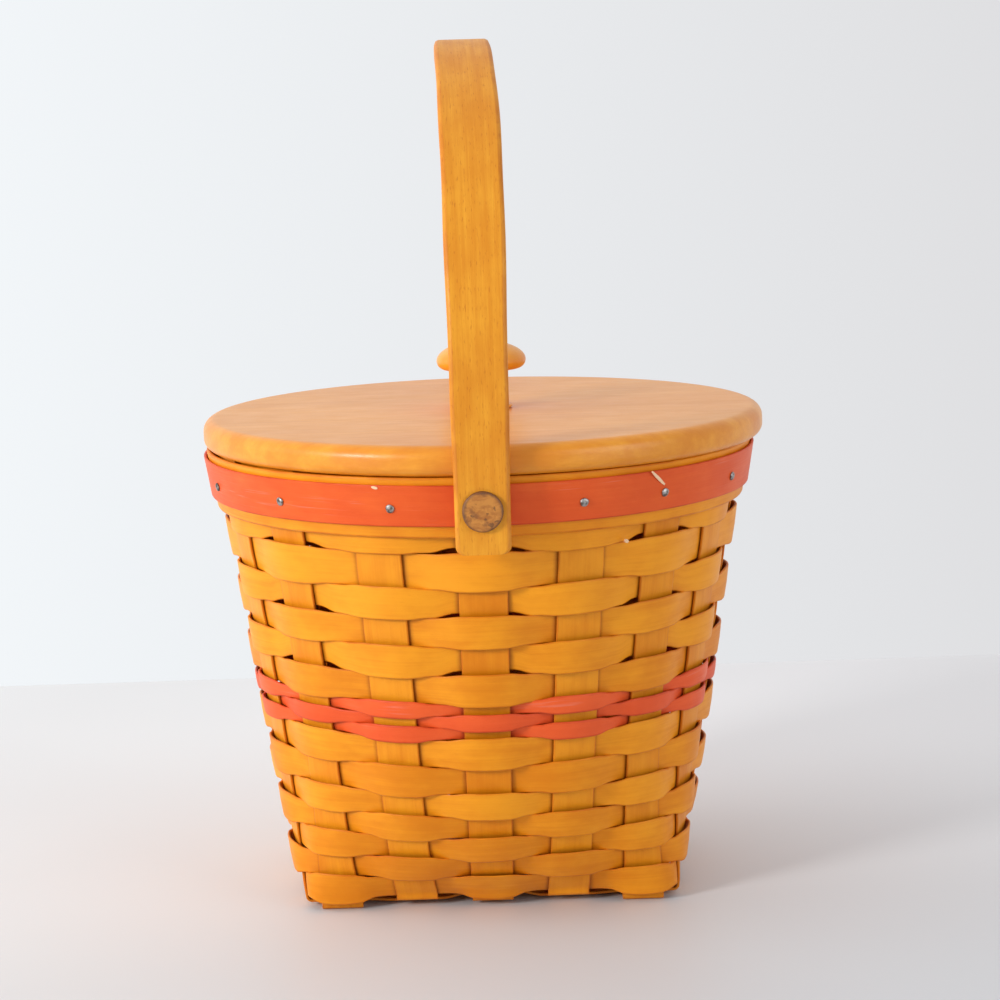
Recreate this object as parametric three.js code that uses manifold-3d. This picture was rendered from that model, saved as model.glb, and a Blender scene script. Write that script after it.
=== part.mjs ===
// Lidded basket of flat wood splints, with a bentwood swing handle.
// Millimetres, +Z up, -Y front. Origin: middle of the base, on the surface that it stands on.
import * as THREE from 'three';
import { mergeVertices } from 'three/addons/utils/BufferGeometryUtils.js';
import Module from 'manifold-3d';

// How many flats stand for a circle
const LID_STEPS = 48;
const KNOB_STEPS = 32;
const PEG_STEPS = 20;
const SCREW_STEPS = 10;
const TACK_STEPS = 8;

// Splints that cross under the base and run up both sides as uprights
const SIDES = 4;
const FRONT_BACK_SPLINTS = 5;
const LEFT_RIGHT_SPLINTS = 3;
const FRONT_BACK_PITCH = 30.8;
const LEFT_RIGHT_PITCH = 39;
const SPLINT_WIDTH_BASE = 16.8;
const SPLINT_WIDTH_RIM = 19.8;
const SPLINT_THICKNESS = 1.2;
const SPLINT_BEND_RADIUS = 2;
const BASE_MARGIN = 2.5;
const BASE_ARCH = 1.4;

// Wall, in the middle of the uprights' thickness: oblong at the base, rounding off fast above it
// and round at the rim. The belly is the swell that a round wall would have at the base: it comes
// in with the rounding and fades towards the rim.
const RIM_RADIUS = 109.35;
const ROUNDING_POWER = 7;
const BELLY = 6.3;
const BELLY_FADE_POWER = 1.5;

// Hand-spaced uprights: how far each leans round the rim from an even spacing, in degrees,
// counted from the front middle one towards +X
const RIM_DRIFT = [
  -0.3, -1, -2.5, -3.7, -3, -2.5, -1.8, -1, -0.3, -0.7, -1.2, -1.7, -2.2, -2.6, -2.3, -0.6,
];

// Weavers, from the base up: how many of each width
const WEAVER_THICKNESS = 1.2;
const NARROW_ROW = 10.08;
const WIDE_ROW = 11.85;
const ACCENT_ROW = 5;
const BROAD_ROW = 14.4;
const NARROW_ROWS = 5;
const LOWER_WIDE_ROWS = 2;
const ACCENT_ROWS = 3;
const UPPER_WIDE_ROWS = 4;
const ROW_GAP = 0.3;
const WEAVE_GAP = 0.4;
const WEAVE_LAP = 1.6;

// Rim: the uprights and weavers are held between an outer and an inner band, with a red trim band
const RIM_LIP = 4.6;
const BAND_HEIGHT = 24.1;
const BAND_THICKNESS = 2;
const BAND_GAP = 0.5;
const TRIM_HEIGHT = 16.4;
const TRIM_DROP = 2.8;
const TRIM_THICKNESS = 1.2;
const TRIM_GAP = 0.4;

// Tacks that hold the trim: angle round the rim from the front, towards +X, in degrees
const TACK_ANGLES = [-164, -148, -122, -96, -70, -44, -18, 20, 39, 63, 91, 117, 143, 163];
const TACK_HEAD_RADIUS = 1.7;
const TACK_HEAD_HEIGHT = 0.9;
const TACK_SHANK_RADIUS = 0.6;
const TACK_SEAT_GAP = 0.25;
const TACK_HOLE_GAP = 0.15;

// Lid: a turned board, with a disc under it that drops inside the rim
const SEAT_GAP = 0.3;
const LID_OVERHANG = 1.2;
const LID_THICKNESS = 11.9;
const LID_TOP_ROUND = 5;
const LID_BOTTOM_ROUND = 4;
const LID_SHIFT = 2;
const LID_DISC_PLAY = 2.6;
const LID_DISC_THICKNESS = 4.4;
const LID_DISC_CHAMFER = 1;

// Knob, turned, screwed on from below
const KNOB_HEIGHT = 28;
const KNOB_RADIUS = 18.7;
const KNOB_WIDEST = 20;
const KNOB_EDGE_ROUND = 3.6;
const KNOB_FOOT_RADIUS = 12.5;
const KNOB_FOOT_HEIGHT = 1.4;
const KNOB_WAIST_RADIUS = 8.5;
const SCREW_RADIUS = 2;
const SCREW_HEAD_RADIUS = 4;
const SCREW_HEAD_HEIGHT = 2.4;
const SCREW_POINT = 3;
const SCREW_HOLE_GAP = 0.3;
const KNOB_SCREW_BITE = 14;
const DISC_SCREW_BITE = 7;
const DISC_SCREW_CIRCLE = 60;
const DISC_SCREWS = 3;

// Handle: a bentwood hoop outside the rim, over the lid, on two pegs
const PIVOT_DROP = 11.6;
const HANDLE_WIDTH = 22.2;
const HANDLE_END_WIDTH = 21.2;
const HANDLE_THICKNESS = 5.6;
const HANDLE_EDGE_ROUND = 1.6;
const HANDLE_LID_CLEARANCE = 1.4;
const HANDLE_LEG_RISE = 52.8;
const HANDLE_LEG_TAIL = 16.8;
const HANDLE_END_ROUND = 3;
const HANDLE_SHOULDER_SWELL = 1.6;
const HANDLE_LEAN = 2.6;
const HANDLE_LEAN_POWER = 6;
const ARCH_STEPS = 28;
const LEG_STEPS = 6;
const LEG_CORNER_STEPS = 3;

// Pegs that the handle swings on
const PEG_RADIUS = 3.5;
const PEG_HEAD_RADIUS = 7.85;
const PEG_HEAD_HEIGHT = 1.8;
const PEG_HEAD_CHAMFER = 0.9;
const PEG_RUNNING_GAP = 0.25;
const PEG_HOLE_GAP = 0.35;
const SPACER_RADIUS = 7.5;
const WASHER_RADIUS = 6.5;
const WASHER_THICKNESS = 2.6;

const HONEY = 0xd68a28;
const HONEY_LIGHT = 0xe29a38;
const PALE_WOOD = 0xe0a468;
const TRIM_RED = 0xd2502a;
const END_GRAIN = 0xa8743c;
const STEEL = 0x9a9a98;

// Sizes that follow from those above
const UPRIGHTS = 2 * (FRONT_BACK_SPLINTS + LEFT_RIGHT_SPLINTS);
const FRONT_END = (FRONT_BACK_SPLINTS - 1) / 2;
const SIDE_END = (LEFT_RIGHT_SPLINTS - 1) / 2;
const SPLINT_EDGE = SPLINT_WIDTH_BASE / 2 + WEAVE_LAP;
const BASE_BORDER = SPLINT_EDGE + BASE_MARGIN + SPLINT_BEND_RADIUS;
const BASE_HALF_WIDTH = FRONT_END * FRONT_BACK_PITCH + BASE_BORDER;
const BASE_HALF_DEPTH = SIDE_END * LEFT_RIGHT_PITCH + BASE_BORDER;
const SPLINT_STEP = SPLINT_THICKNESS + WEAVE_GAP;
const WEAVE_OFFSET = (SPLINT_THICKNESS + WEAVER_THICKNESS) / 2 + WEAVE_GAP;
const FIRST_ROW_Z = BASE_ARCH + SPLINT_STEP + SPLINT_THICKNESS / 2 + SPLINT_BEND_RADIUS;

function repeat(count, value) {
  return Array(count).fill(value);
}

const ROWS = [
  ...repeat(NARROW_ROWS, { height: NARROW_ROW, colour: HONEY }),
  ...repeat(LOWER_WIDE_ROWS, { height: WIDE_ROW, colour: HONEY }),
  ...repeat(ACCENT_ROWS, { height: ACCENT_ROW, colour: TRIM_RED }),
  ...repeat(UPPER_WIDE_ROWS, { height: WIDE_ROW, colour: HONEY }),
  { height: BROAD_ROW, colour: HONEY },
  { height: WIDE_ROW, colour: HONEY },
  { height: BROAD_ROW, colour: HONEY },
];
const ROW_STARTS = [];
let rowsTop = FIRST_ROW_Z;
for (const row of ROWS) {
  ROW_STARTS.push(rowsTop);
  rowsTop += row.height;
}
const RIM_Z = rowsTop + RIM_LIP;
const BAND_Z = RIM_Z - BAND_HEIGHT;
const TRIM_TOP_Z = RIM_Z - TRIM_DROP;
const TRIM_Z = TRIM_TOP_Z - TRIM_HEIGHT;
const RIM_FLAT_RADIUS = Math.sqrt(RIM_RADIUS ** 2 - (SPLINT_WIDTH_RIM / 2 + WEAVE_LAP) ** 2);

const OUTER_BAND_IN = WEAVE_OFFSET + WEAVER_THICKNESS / 2 + BAND_GAP;
const OUTER_BAND_OUT = OUTER_BAND_IN + BAND_THICKNESS;
const TRIM_IN = OUTER_BAND_OUT + TRIM_GAP;
const TRIM_OUT = TRIM_IN + TRIM_THICKNESS;
const INNER_BAND_IN = -OUTER_BAND_OUT;

const PIVOT_Z = RIM_Z - PIVOT_DROP;
const LID_Z = RIM_Z + SEAT_GAP;
const LID_TOP_Z = LID_Z + LID_THICKNESS;
const LID_RADIUS = RIM_RADIUS + TRIM_OUT + LID_OVERHANG;
const LID_DISC_Z = LID_Z - SEAT_GAP - LID_DISC_THICKNESS;
const LID_DISC_RADIUS = faceRadius(LID_DISC_Z) + INNER_BAND_IN - LID_DISC_PLAY;
const HANDLE_IN = LID_RADIUS + HANDLE_LID_CLEARANCE;
const HANDLE_OUT = HANDLE_IN + HANDLE_THICKNESS;

// Distance from the axis to the round wall, in the middle of an upright, where it is flat
function faceRadius(z) {
  return THREE.MathUtils.lerp(BASE_HALF_WIDTH, RIM_FLAT_RADIUS, z / RIM_Z) + bellyAt(z);
}

function bellyAt(z) {
  return BELLY * roundnessAt(z) * (1 - z / RIM_Z) ** BELLY_FADE_POWER;
}

// Solids

function indexedGeometry(points, faces) {
  const geometry = new THREE.BufferGeometry();
  const numbers = points.flatMap((point) => point.toArray());
  geometry.setAttribute('position', new THREE.Float32BufferAttribute(numbers, 3));
  geometry.setIndex(faces);
  geometry.computeVertexNormals();
  return geometry;
}

function signedVolume(points, faces) {
  let volume = 0;
  for (let i = 0; i < faces.length; i += 3) {
    const [a, b, c] = [points[faces[i]], points[faces[i + 1]], points[faces[i + 2]]];
    volume += a.dot(b.clone().cross(c)) / 6;
  }
  return volume;
}

// A bar through a row of like cross-sections, either closed into a hoop or capped at both ends.
// Opposite faces are split along the same diagonal, so twisted bars nest closely.
function bar(sections, closed) {
  const sides = sections[0].length;
  const spans = closed ? sections.length : sections.length - 1;
  const points = sections.flat();
  const faces = [];
  for (let i = 0; i < spans; i += 1) {
    const here = i * sides;
    const next = ((i + 1) % sections.length) * sides;
    for (let j = 0; j < sides; j += 1) {
      const k = (j + 1) % sides;
      if (j < sides / 2) {
        faces.push(here + j, next + j, next + k);
        faces.push(here + j, next + k, here + k);
      } else {
        faces.push(here + j, next + j, here + k);
        faces.push(next + j, next + k, here + k);
      }
    }
  }
  if (!closed) {
    const last = (sections.length - 1) * sides;
    for (let j = 1; j < sides - 1; j += 1) {
      faces.push(0, j, j + 1);
      faces.push(last, last + j + 1, last + j);
    }
  }
  if (signedVolume(points, faces) < 0) {
    faces.reverse();
  }
  return indexedGeometry(points, faces);
}

const wasm = await Module();
wasm.setup();

function toManifold(geometry) {
  const bare = geometry.clone();
  bare.deleteAttribute('normal');
  bare.deleteAttribute('uv');
  const merged = mergeVertices(bare, 1e-4);
  return new wasm.Manifold(new wasm.Mesh({
    numProp: 3,
    vertProperties: new Float32Array(merged.attributes.position.array),
    triVerts: new Uint32Array(merged.index.array),
  }));
}

function drill(geometry, holes) {
  let result = toManifold(geometry);
  for (const hole of holes) {
    result = result.subtract(toManifold(hole));
  }
  const mesh = result.getMesh();
  const drilled = new THREE.BufferGeometry();
  drilled.setAttribute('position', new THREE.BufferAttribute(new Float32Array(mesh.vertProperties), 3));
  drilled.setIndex(new THREE.BufferAttribute(new Uint32Array(mesh.triVerts), 1));
  drilled.computeVertexNormals();
  return drilled;
}

// A turned piece: a profile of [radius, height] pairs, starting and ending on the axis, spun about +Z
function turned(profile, steps) {
  const points = profile.map(([radius, height]) => new THREE.Vector2(radius, height));
  return new THREE.LatheGeometry(points, steps).rotateX(Math.PI / 2);
}

function ringProfile(inner, outer, low, high) {
  return [[inner, low], [outer, low], [outer, high], [inner, high], [inner, low]];
}

// Part of an ellipse in a profile: its centre, its two radii, and the angles from and to in quarter turns
function arcPoints([centreRadius, centreHeight], [across, up], from, to, steps) {
  const points = [];
  for (let i = 0; i <= steps; i += 1) {
    const angle = (THREE.MathUtils.lerp(from, to, i / steps) * Math.PI) / 2;
    points.push([centreRadius + across * Math.cos(angle), centreHeight + up * Math.sin(angle)]);
  }
  return points;
}

function cylinderAlongY(radius, from, to, steps) {
  return new THREE.CylinderGeometry(radius, radius, to - from, steps).translate(0, (from + to) / 2, 0);
}

function cylinderAlongZ(radius, from, to, steps) {
  return cylinderAlongY(radius, from, to, steps).rotateX(Math.PI / 2);
}

// The wall

function mod(value, count) {
  return ((value % count) + count) % count;
}

function rimAngle(upright) {
  const turns = Math.floor(upright / UPRIGHTS);
  const drift = RIM_DRIFT[mod(upright, UPRIGHTS) % RIM_DRIFT.length];
  const even = (360 / UPRIGHTS) * mod(upright, UPRIGHTS);
  return THREE.MathUtils.degToRad(even + drift + 360 * turns);
}

function radial(angle) {
  return new THREE.Vector3(Math.sin(angle), -Math.cos(angle), 0);
}

// Which side of the base an upright rises from: 0 and 4 the front, 1 the right, 2 the back, 3 the left
function sideOf(upright) {
  const fromCorner = mod(upright, UPRIGHTS) + FRONT_END;
  const half = Math.floor(fromCorner / (UPRIGHTS / 2));
  return 2 * half + (fromCorner % (UPRIGHTS / 2) < FRONT_BACK_SPLINTS ? 0 : 1);
}

// How round the wall is: 0 from the base up to the first weaver, 1 at the rim
function roundnessAt(z) {
  const part = Math.max(0, z - FIRST_ROW_Z) / (RIM_Z - FIRST_ROW_Z);
  return 1 - (1 - part) ** ROUNDING_POWER;
}

function splintWidthAt(z) {
  return THREE.MathUtils.lerp(SPLINT_WIDTH_BASE, SPLINT_WIDTH_RIM, z / RIM_Z);
}

// Distance from the middle of an upright to where the weavers bend beside it
function weaveEdgeAt(z) {
  return splintWidthAt(z) / 2 + WEAVE_LAP;
}

// Radius of the circle through the bends beside the uprights
function ringRadius(z) {
  return Math.hypot(faceRadius(z), weaveEdgeAt(z));
}

// Direction from the axis to a point on the round wall, a distance beside the middle of an upright
function radialBeside(upright, shift, z) {
  return radial(rimAngle(upright) + Math.asin(shift / ringRadius(z)));
}

// Outward direction of the wall at a height, a distance beside the middle of an upright
function wallNormal(upright, shift, z) {
  const onOblong = radial((sideOf(upright) * Math.PI * 2) / SIDES);
  return onOblong.lerp(radialBeside(upright, shift, z), roundnessAt(z)).normalize();
}

// Point on the wall at a height, a distance beside the middle of an upright
function wallPoint(upright, shift, z) {
  const side = sideOf(upright);
  const place = mod(upright, UPRIGHTS) - (side * UPRIGHTS) / SIDES;
  const [pitch, depth] = side % 2 === 0 ?
    [FRONT_BACK_PITCH, BASE_HALF_DEPTH] : [LEFT_RIGHT_PITCH, BASE_HALF_WIDTH];
  const growth = faceRadius(z) / BASE_HALF_WIDTH;
  const onOblong = new THREE.Vector3(place * pitch * growth + shift, -depth * growth, 0);
  onOblong.applyAxisAngle(new THREE.Vector3(0, 0, 1), (side * Math.PI * 2) / SIDES);
  const onRing = radialBeside(upright, shift, z).multiplyScalar(ringRadius(z));
  return onOblong.lerp(onRing, roundnessAt(z)).setZ(z);
}

function offsetPoint(point, direction, distance) {
  return point.clone().addScaledVector(direction, distance);
}

// Rectangle between two heights and two distances out from the wall, on one edge of an upright
function wallSection(upright, edge, low, high, inside, outside) {
  const section = [];
  for (const [z, out] of [[low, outside], [high, outside], [high, inside], [low, inside]]) {
    const shift = edge * weaveEdgeAt(z);
    section.push(offsetPoint(wallPoint(upright, shift, z), wallNormal(upright, shift, z), out));
  }
  return section;
}

// A hoop round the wall, straight across each upright, where it lies a chosen distance out
function hoop(low, high, thickness, insideAt) {
  const sections = [];
  for (let upright = 0; upright < UPRIGHTS; upright += 1) {
    const inside = insideAt(upright);
    const outside = inside + thickness;
    for (const edge of [-1, 1]) {
      sections.push(wallSection(upright, edge, low, high, inside, outside));
    }
  }
  return bar(sections, true);
}

// A weaver runs in front of every second upright and behind the others
function weaver(row, low) {
  const high = low + ROWS[row].height - ROW_GAP;
  return hoop(low, high, WEAVER_THICKNESS, (upright) => {
    const side = (row + upright) % 2 === 0 ? 1 : -1;
    return side * WEAVE_OFFSET - WEAVER_THICKNESS / 2;
  });
}

// The base

// The two ways that splints run: which one is under at the middle of the base, how many steps it is
// from there to the last splint beside it and to the last one across it, and how far apart those lie
const FRONT_BACK = {
  startsUnder: false, lastPlace: FRONT_END, lastCrossing: SIDE_END, step: LEFT_RIGHT_PITCH,
};
const LEFT_RIGHT = {
  startsUnder: true, lastPlace: SIDE_END, lastCrossing: FRONT_END, step: FRONT_BACK_PITCH,
};

// Height of the middle of a splint where it crosses another one.
// The base is arched a little, so the basket stands on its corners.
function crossingZ(way, place, crossing) {
  const under = (place + crossing) % 2 === 0 ? way.startsUnder : !way.startsUnder;
  const arch = BASE_ARCH * (1 - (place / way.lastPlace) ** 2 * (crossing / way.lastCrossing) ** 2);
  return arch + SPLINT_THICKNESS / 2 + (under ? 0 : SPLINT_STEP);
}

// Corners of a splint's section: which side, then outer or inner face
const SPLINT_CORNERS = [[1, 1], [-1, 1], [-1, -1], [1, -1]];

function flatSection(centre, across, through) {
  const section = [];
  for (const [side, face] of SPLINT_CORNERS) {
    const point = offsetPoint(centre, across, (side * SPLINT_WIDTH_BASE) / 2);
    section.push(offsetPoint(point, through, (face * SPLINT_THICKNESS) / 2));
  }
  return section;
}

// One half of a splint: from its first crossing at the middle of the base out to the edge and up to
// the rim. Outward is the direction from the middle of the base to the upright.
function splintArm(way, upright, place, outward) {
  const across = new THREE.Vector3(-outward.y, outward.x, 0);
  const centreLine = across.clone().multiplyScalar(wallPoint(upright, 0, 0).dot(across));
  const down = new THREE.Vector3(0, 0, -1);
  const sections = [];
  for (let crossing = 0; crossing <= way.lastCrossing; crossing += 1) {
    const z = crossingZ(way, place, crossing);
    for (const edge of crossing === 0 ? [1] : [-1, 1]) {
      const centre = offsetPoint(centreLine, outward, crossing * way.step + edge * SPLINT_EDGE);
      sections.push(flatSection(centre.setZ(z), across, down));
    }
  }
  const upZ = crossingZ(way, place, way.lastCrossing) + SPLINT_BEND_RADIUS;
  const bendCentre = offsetPoint(wallPoint(upright, 0, upZ), outward, -SPLINT_BEND_RADIUS);
  for (const degrees of [0, 30, 60]) {
    const turn = THREE.MathUtils.degToRad(degrees);
    const through = outward.clone().multiplyScalar(Math.sin(turn)).addScaledVector(down, Math.cos(turn));
    sections.push(flatSection(offsetPoint(bendCentre, through, SPLINT_BEND_RADIUS), across, through));
  }
  for (const z of [upZ, ...ROW_STARTS.filter((start) => start > upZ), RIM_Z]) {
    const normal = wallNormal(upright, 0, z);
    const section = [];
    for (const [side, face] of SPLINT_CORNERS) {
      const point = wallPoint(upright, (side * splintWidthAt(z)) / 2, z);
      section.push(offsetPoint(point, normal, (face * SPLINT_THICKNESS) / 2));
    }
    sections.push(section);
  }
  return sections;
}

// The far arm is turned end for end, so its sections run on from the near arm's
function splint(way, near, far, place, outward) {
  const nearArm = splintArm(way, near, place, outward);
  const farArm = splintArm(way, far, place, outward.clone().negate());
  const turnedRound = farArm.map(([a, b, c, d]) => [b, a, d, c]);
  return bar([...nearArm.reverse(), ...turnedRound], false);
}

// Pieces and how they are finished

function woodMaterial(colour, roughness) {
  return new THREE.MeshStandardMaterial({ color: colour, roughness, metalness: 0 });
}

function steelMaterial() {
  return new THREE.MeshStandardMaterial({ color: STEEL, roughness: 0.35, metalness: 1 });
}

function piece(name, geometry, material) {
  const mesh = new THREE.Mesh(geometry, material);
  mesh.name = name;
  return mesh;
}

const basket = new THREE.Group();
const lid = new THREE.Group();
const handle = new THREE.Group();
const FRONT = new THREE.Vector3(0, -1, 0);
const RIGHT = new THREE.Vector3(1, 0, 0);

// Hole right through the front and back, at the height of the pegs
function pegHole(radius) {
  const reach = HANDLE_OUT + PEG_HEAD_HEIGHT;
  return cylinderAlongY(radius, -reach, reach, PEG_STEPS).translate(0, 0, PIVOT_Z);
}

const wallPegHole = pegHole(PEG_RADIUS + PEG_HOLE_GAP);

// Splints from front to back, then from right to left
for (let place = -FRONT_END; place <= FRONT_END; place += 1) {
  let geometry = splint(FRONT_BACK, place, UPRIGHTS / 2 - place, place, FRONT);
  if (place === 0) {
    geometry = drill(geometry, [wallPegHole]);
  }
  basket.add(piece(`splint_front_back_${place + FRONT_END + 1}`, geometry, woodMaterial(HONEY, 0.5)));
}
for (let place = -SIDE_END; place <= SIDE_END; place += 1) {
  const right = UPRIGHTS / SIDES + place;
  const left = (3 * UPRIGHTS) / SIDES - place;
  const geometry = splint(LEFT_RIGHT, right, left, place, RIGHT);
  basket.add(piece(`splint_left_right_${place + SIDE_END + 1}`, geometry, woodMaterial(HONEY, 0.5)));
}

// Weavers, from the base up
ROWS.forEach((row, index) => {
  const low = ROW_STARTS[index];
  let geometry = weaver(index, low);
  if (low < PIVOT_Z && PIVOT_Z < low + row.height) {
    geometry = drill(geometry, [wallPegHole]);
  }
  const kind = row.colour === TRIM_RED ? 'weaver_red' : 'weaver';
  basket.add(piece(`${kind}_${index + 1}`, geometry, woodMaterial(row.colour, 0.5)));
});

// Tacks: each stands square to the trim, with its shank through the trim and the outer band
const TACK_Z = (TRIM_Z + TRIM_TOP_Z) / 2;
const TACK_LENGTH = TRIM_OUT - OUTER_BAND_IN;
const trimBand = hoop(TRIM_Z, TRIM_TOP_Z, TRIM_THICKNESS, () => TRIM_IN);
const trimBlank = new THREE.Mesh(trimBand);

function tackFrame(degrees) {
  const inward = radial(THREE.MathUtils.degToRad(degrees)).negate();
  const start = offsetPoint(new THREE.Vector3(0, 0, TACK_Z), inward, -LID_RADIUS);
  const hit = new THREE.Raycaster(start, inward).intersectObject(trimBlank)[0];
  const frame = new THREE.Group();
  frame.position.copy(offsetPoint(hit.point, hit.face.normal, TACK_SEAT_GAP));
  frame.quaternion.setFromUnitVectors(new THREE.Vector3(0, 0, 1), hit.face.normal);
  frame.updateMatrix();
  return frame;
}

function tackGeometry() {
  return turned([
    [0, -TACK_LENGTH],
    [TACK_SHANK_RADIUS, -TACK_LENGTH],
    [TACK_SHANK_RADIUS, 0],
    ...arcPoints([0, 0], [TACK_HEAD_RADIUS, TACK_HEAD_HEIGHT], 0, 1, 2),
  ], TACK_STEPS);
}

const tackHoles = [];
TACK_ANGLES.forEach((degrees, index) => {
  const frame = tackFrame(degrees);
  frame.add(piece(`tack_${index + 1}`, tackGeometry(), steelMaterial()));
  basket.add(frame);
  const holeRadius = TACK_SHANK_RADIUS + TACK_HOLE_GAP;
  const hole = cylinderAlongZ(holeRadius, -2 * TACK_LENGTH, TACK_LENGTH, TACK_STEPS);
  tackHoles.push(hole.applyMatrix4(frame.matrix));
});

// Bands of the rim
const outerBand = hoop(BAND_Z, RIM_Z, BAND_THICKNESS, () => OUTER_BAND_IN);
const innerBand = hoop(BAND_Z, RIM_Z, BAND_THICKNESS, () => INNER_BAND_IN);
const rimHoles = [wallPegHole, ...tackHoles];
basket.add(piece('rim_band_outer', drill(outerBand, rimHoles), woodMaterial(HONEY, 0.45)));
basket.add(piece('rim_band_inner', drill(innerBand, [wallPegHole]), woodMaterial(HONEY, 0.45)));
basket.add(piece('rim_trim_red', drill(trimBand, rimHoles), woodMaterial(TRIM_RED, 0.5)));

// Pegs, with a spacer outside the trim and a washer inside the rim.
// Each set is made for the back, where outward is +Y, and turned half round for the front.

// A washer with one face square to the peg and the other on the slope of the rim
function wedgeWasher(radius, flatY, slopeOffset) {
  const hole = PEG_RADIUS + PEG_HOLE_GAP;
  const ring = turned(ringProfile(hole, radius, -1, 1), PEG_STEPS).rotateX(-Math.PI / 2);
  const position = ring.attributes.position;
  const slopeIsOuter = slopeOffset + faceRadius(PIVOT_Z) > flatY;
  for (let i = 0; i < position.count; i += 1) {
    const isOuter = position.getY(i) > 0;
    const slopeY = faceRadius(PIVOT_Z + position.getZ(i)) + slopeOffset;
    position.setY(i, isOuter === slopeIsOuter ? slopeY : flatY);
  }
  return ring;
}

const WASHER_FLAT_Y = faceRadius(PIVOT_Z - WASHER_RADIUS) + INNER_BAND_IN - SEAT_GAP - WASHER_THICKNESS;
const PEG_HEAD_SEAT = HANDLE_OUT + SEAT_GAP;

function pegSet(end, turn) {
  const group = new THREE.Group();
  const peg = turned([
    [0, WASHER_FLAT_Y],
    [PEG_RADIUS, WASHER_FLAT_Y],
    [PEG_RADIUS, PEG_HEAD_SEAT],
    [PEG_HEAD_RADIUS, PEG_HEAD_SEAT],
    [PEG_HEAD_RADIUS, PEG_HEAD_SEAT + PEG_HEAD_HEIGHT - PEG_HEAD_CHAMFER],
    [PEG_HEAD_RADIUS - PEG_HEAD_CHAMFER, PEG_HEAD_SEAT + PEG_HEAD_HEIGHT],
    [0, PEG_HEAD_SEAT + PEG_HEAD_HEIGHT],
  ], PEG_STEPS).rotateX(-Math.PI / 2);
  group.add(piece(`handle_peg_${end}`, peg, woodMaterial(END_GRAIN, 0.6)));
  const spacer = wedgeWasher(SPACER_RADIUS, HANDLE_IN - SEAT_GAP, TRIM_OUT + SEAT_GAP);
  group.add(piece(`handle_spacer_${end}`, spacer, woodMaterial(PALE_WOOD, 0.6)));
  const washer = wedgeWasher(WASHER_RADIUS, WASHER_FLAT_Y, INNER_BAND_IN - SEAT_GAP);
  group.add(piece(`peg_washer_${end}`, washer, woodMaterial(PALE_WOOD, 0.6)));
  group.position.z = PIVOT_Z;
  group.rotation.z = turn;
  return group;
}

basket.add(pegSet('back', 0), pegSet('front', Math.PI));

// Lid board with a bullnose edge, drilled for the screws
function screwHole(radius, from, to) {
  return cylinderAlongZ(radius, from, to, SCREW_STEPS);
}

// A rounded corner of a turned board, under or over its rim
function roundedEdge(radius, faceZ, round, from, to, steps) {
  const centreZ = from < 0 ? faceZ + round : faceZ - round;
  return arcPoints([radius - round, centreZ], [round, round], from, to, steps);
}

const BELOW_LID = LID_DISC_Z - LID_DISC_THICKNESS;
const knobScrewHole = screwHole(SCREW_RADIUS + SCREW_HOLE_GAP, BELOW_LID, LID_TOP_Z + LID_THICKNESS);

function discScrewPlace(index) {
  const angle = Math.PI / 2 + (index * 2 * Math.PI) / DISC_SCREWS;
  return new THREE.Vector3(DISC_SCREW_CIRCLE * Math.cos(angle), DISC_SCREW_CIRCLE * Math.sin(angle), 0);
}

const discScrewHoles = [];
for (let i = 0; i < DISC_SCREWS; i += 1) {
  const place = discScrewPlace(i);
  const top = LID_Z + DISC_SCREW_BITE + SCREW_HOLE_GAP;
  const shank = screwHole(SCREW_RADIUS + SCREW_HOLE_GAP, BELOW_LID, top);
  discScrewHoles.push(shank.translate(place.x, place.y, 0));
}

const lidBoard = turned([
  [0, LID_Z],
  ...roundedEdge(LID_RADIUS, LID_Z, LID_BOTTOM_ROUND, -1, 0, 2),
  ...roundedEdge(LID_RADIUS, LID_TOP_Z, LID_TOP_ROUND, 0, 1, 3),
  [0, LID_TOP_Z],
], LID_STEPS);
const boardHoles = [knobScrewHole, ...discScrewHoles];
lid.add(piece('lid_board', drill(lidBoard, boardHoles), woodMaterial(PALE_WOOD, 0.35)));

// Locating disc under the board, with room round the knob screw's head
const headRoom = screwHole(SCREW_HEAD_RADIUS + SEAT_GAP, BELOW_LID, LID_Z);
const discTop = LID_DISC_Z + LID_DISC_THICKNESS;
const lidDisc = turned([
  [0, LID_DISC_Z],
  [LID_DISC_RADIUS - LID_DISC_CHAMFER, LID_DISC_Z],
  [LID_DISC_RADIUS, LID_DISC_Z + LID_DISC_CHAMFER],
  [LID_DISC_RADIUS, discTop],
  [0, discTop],
], LID_STEPS);
const headSinks = [];
for (let i = 0; i < DISC_SCREWS; i += 1) {
  const place = discScrewPlace(i);
  const sink = screwHole(SCREW_HEAD_RADIUS + SEAT_GAP, BELOW_LID, LID_DISC_Z + SCREW_HEAD_HEIGHT);
  headSinks.push(sink.translate(place.x, place.y, 0));
}
lid.add(piece('lid_locating_disc', drill(lidDisc, [headRoom, ...discScrewHoles, ...headSinks]),
  woodMaterial(PALE_WOOD, 0.5)));

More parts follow.
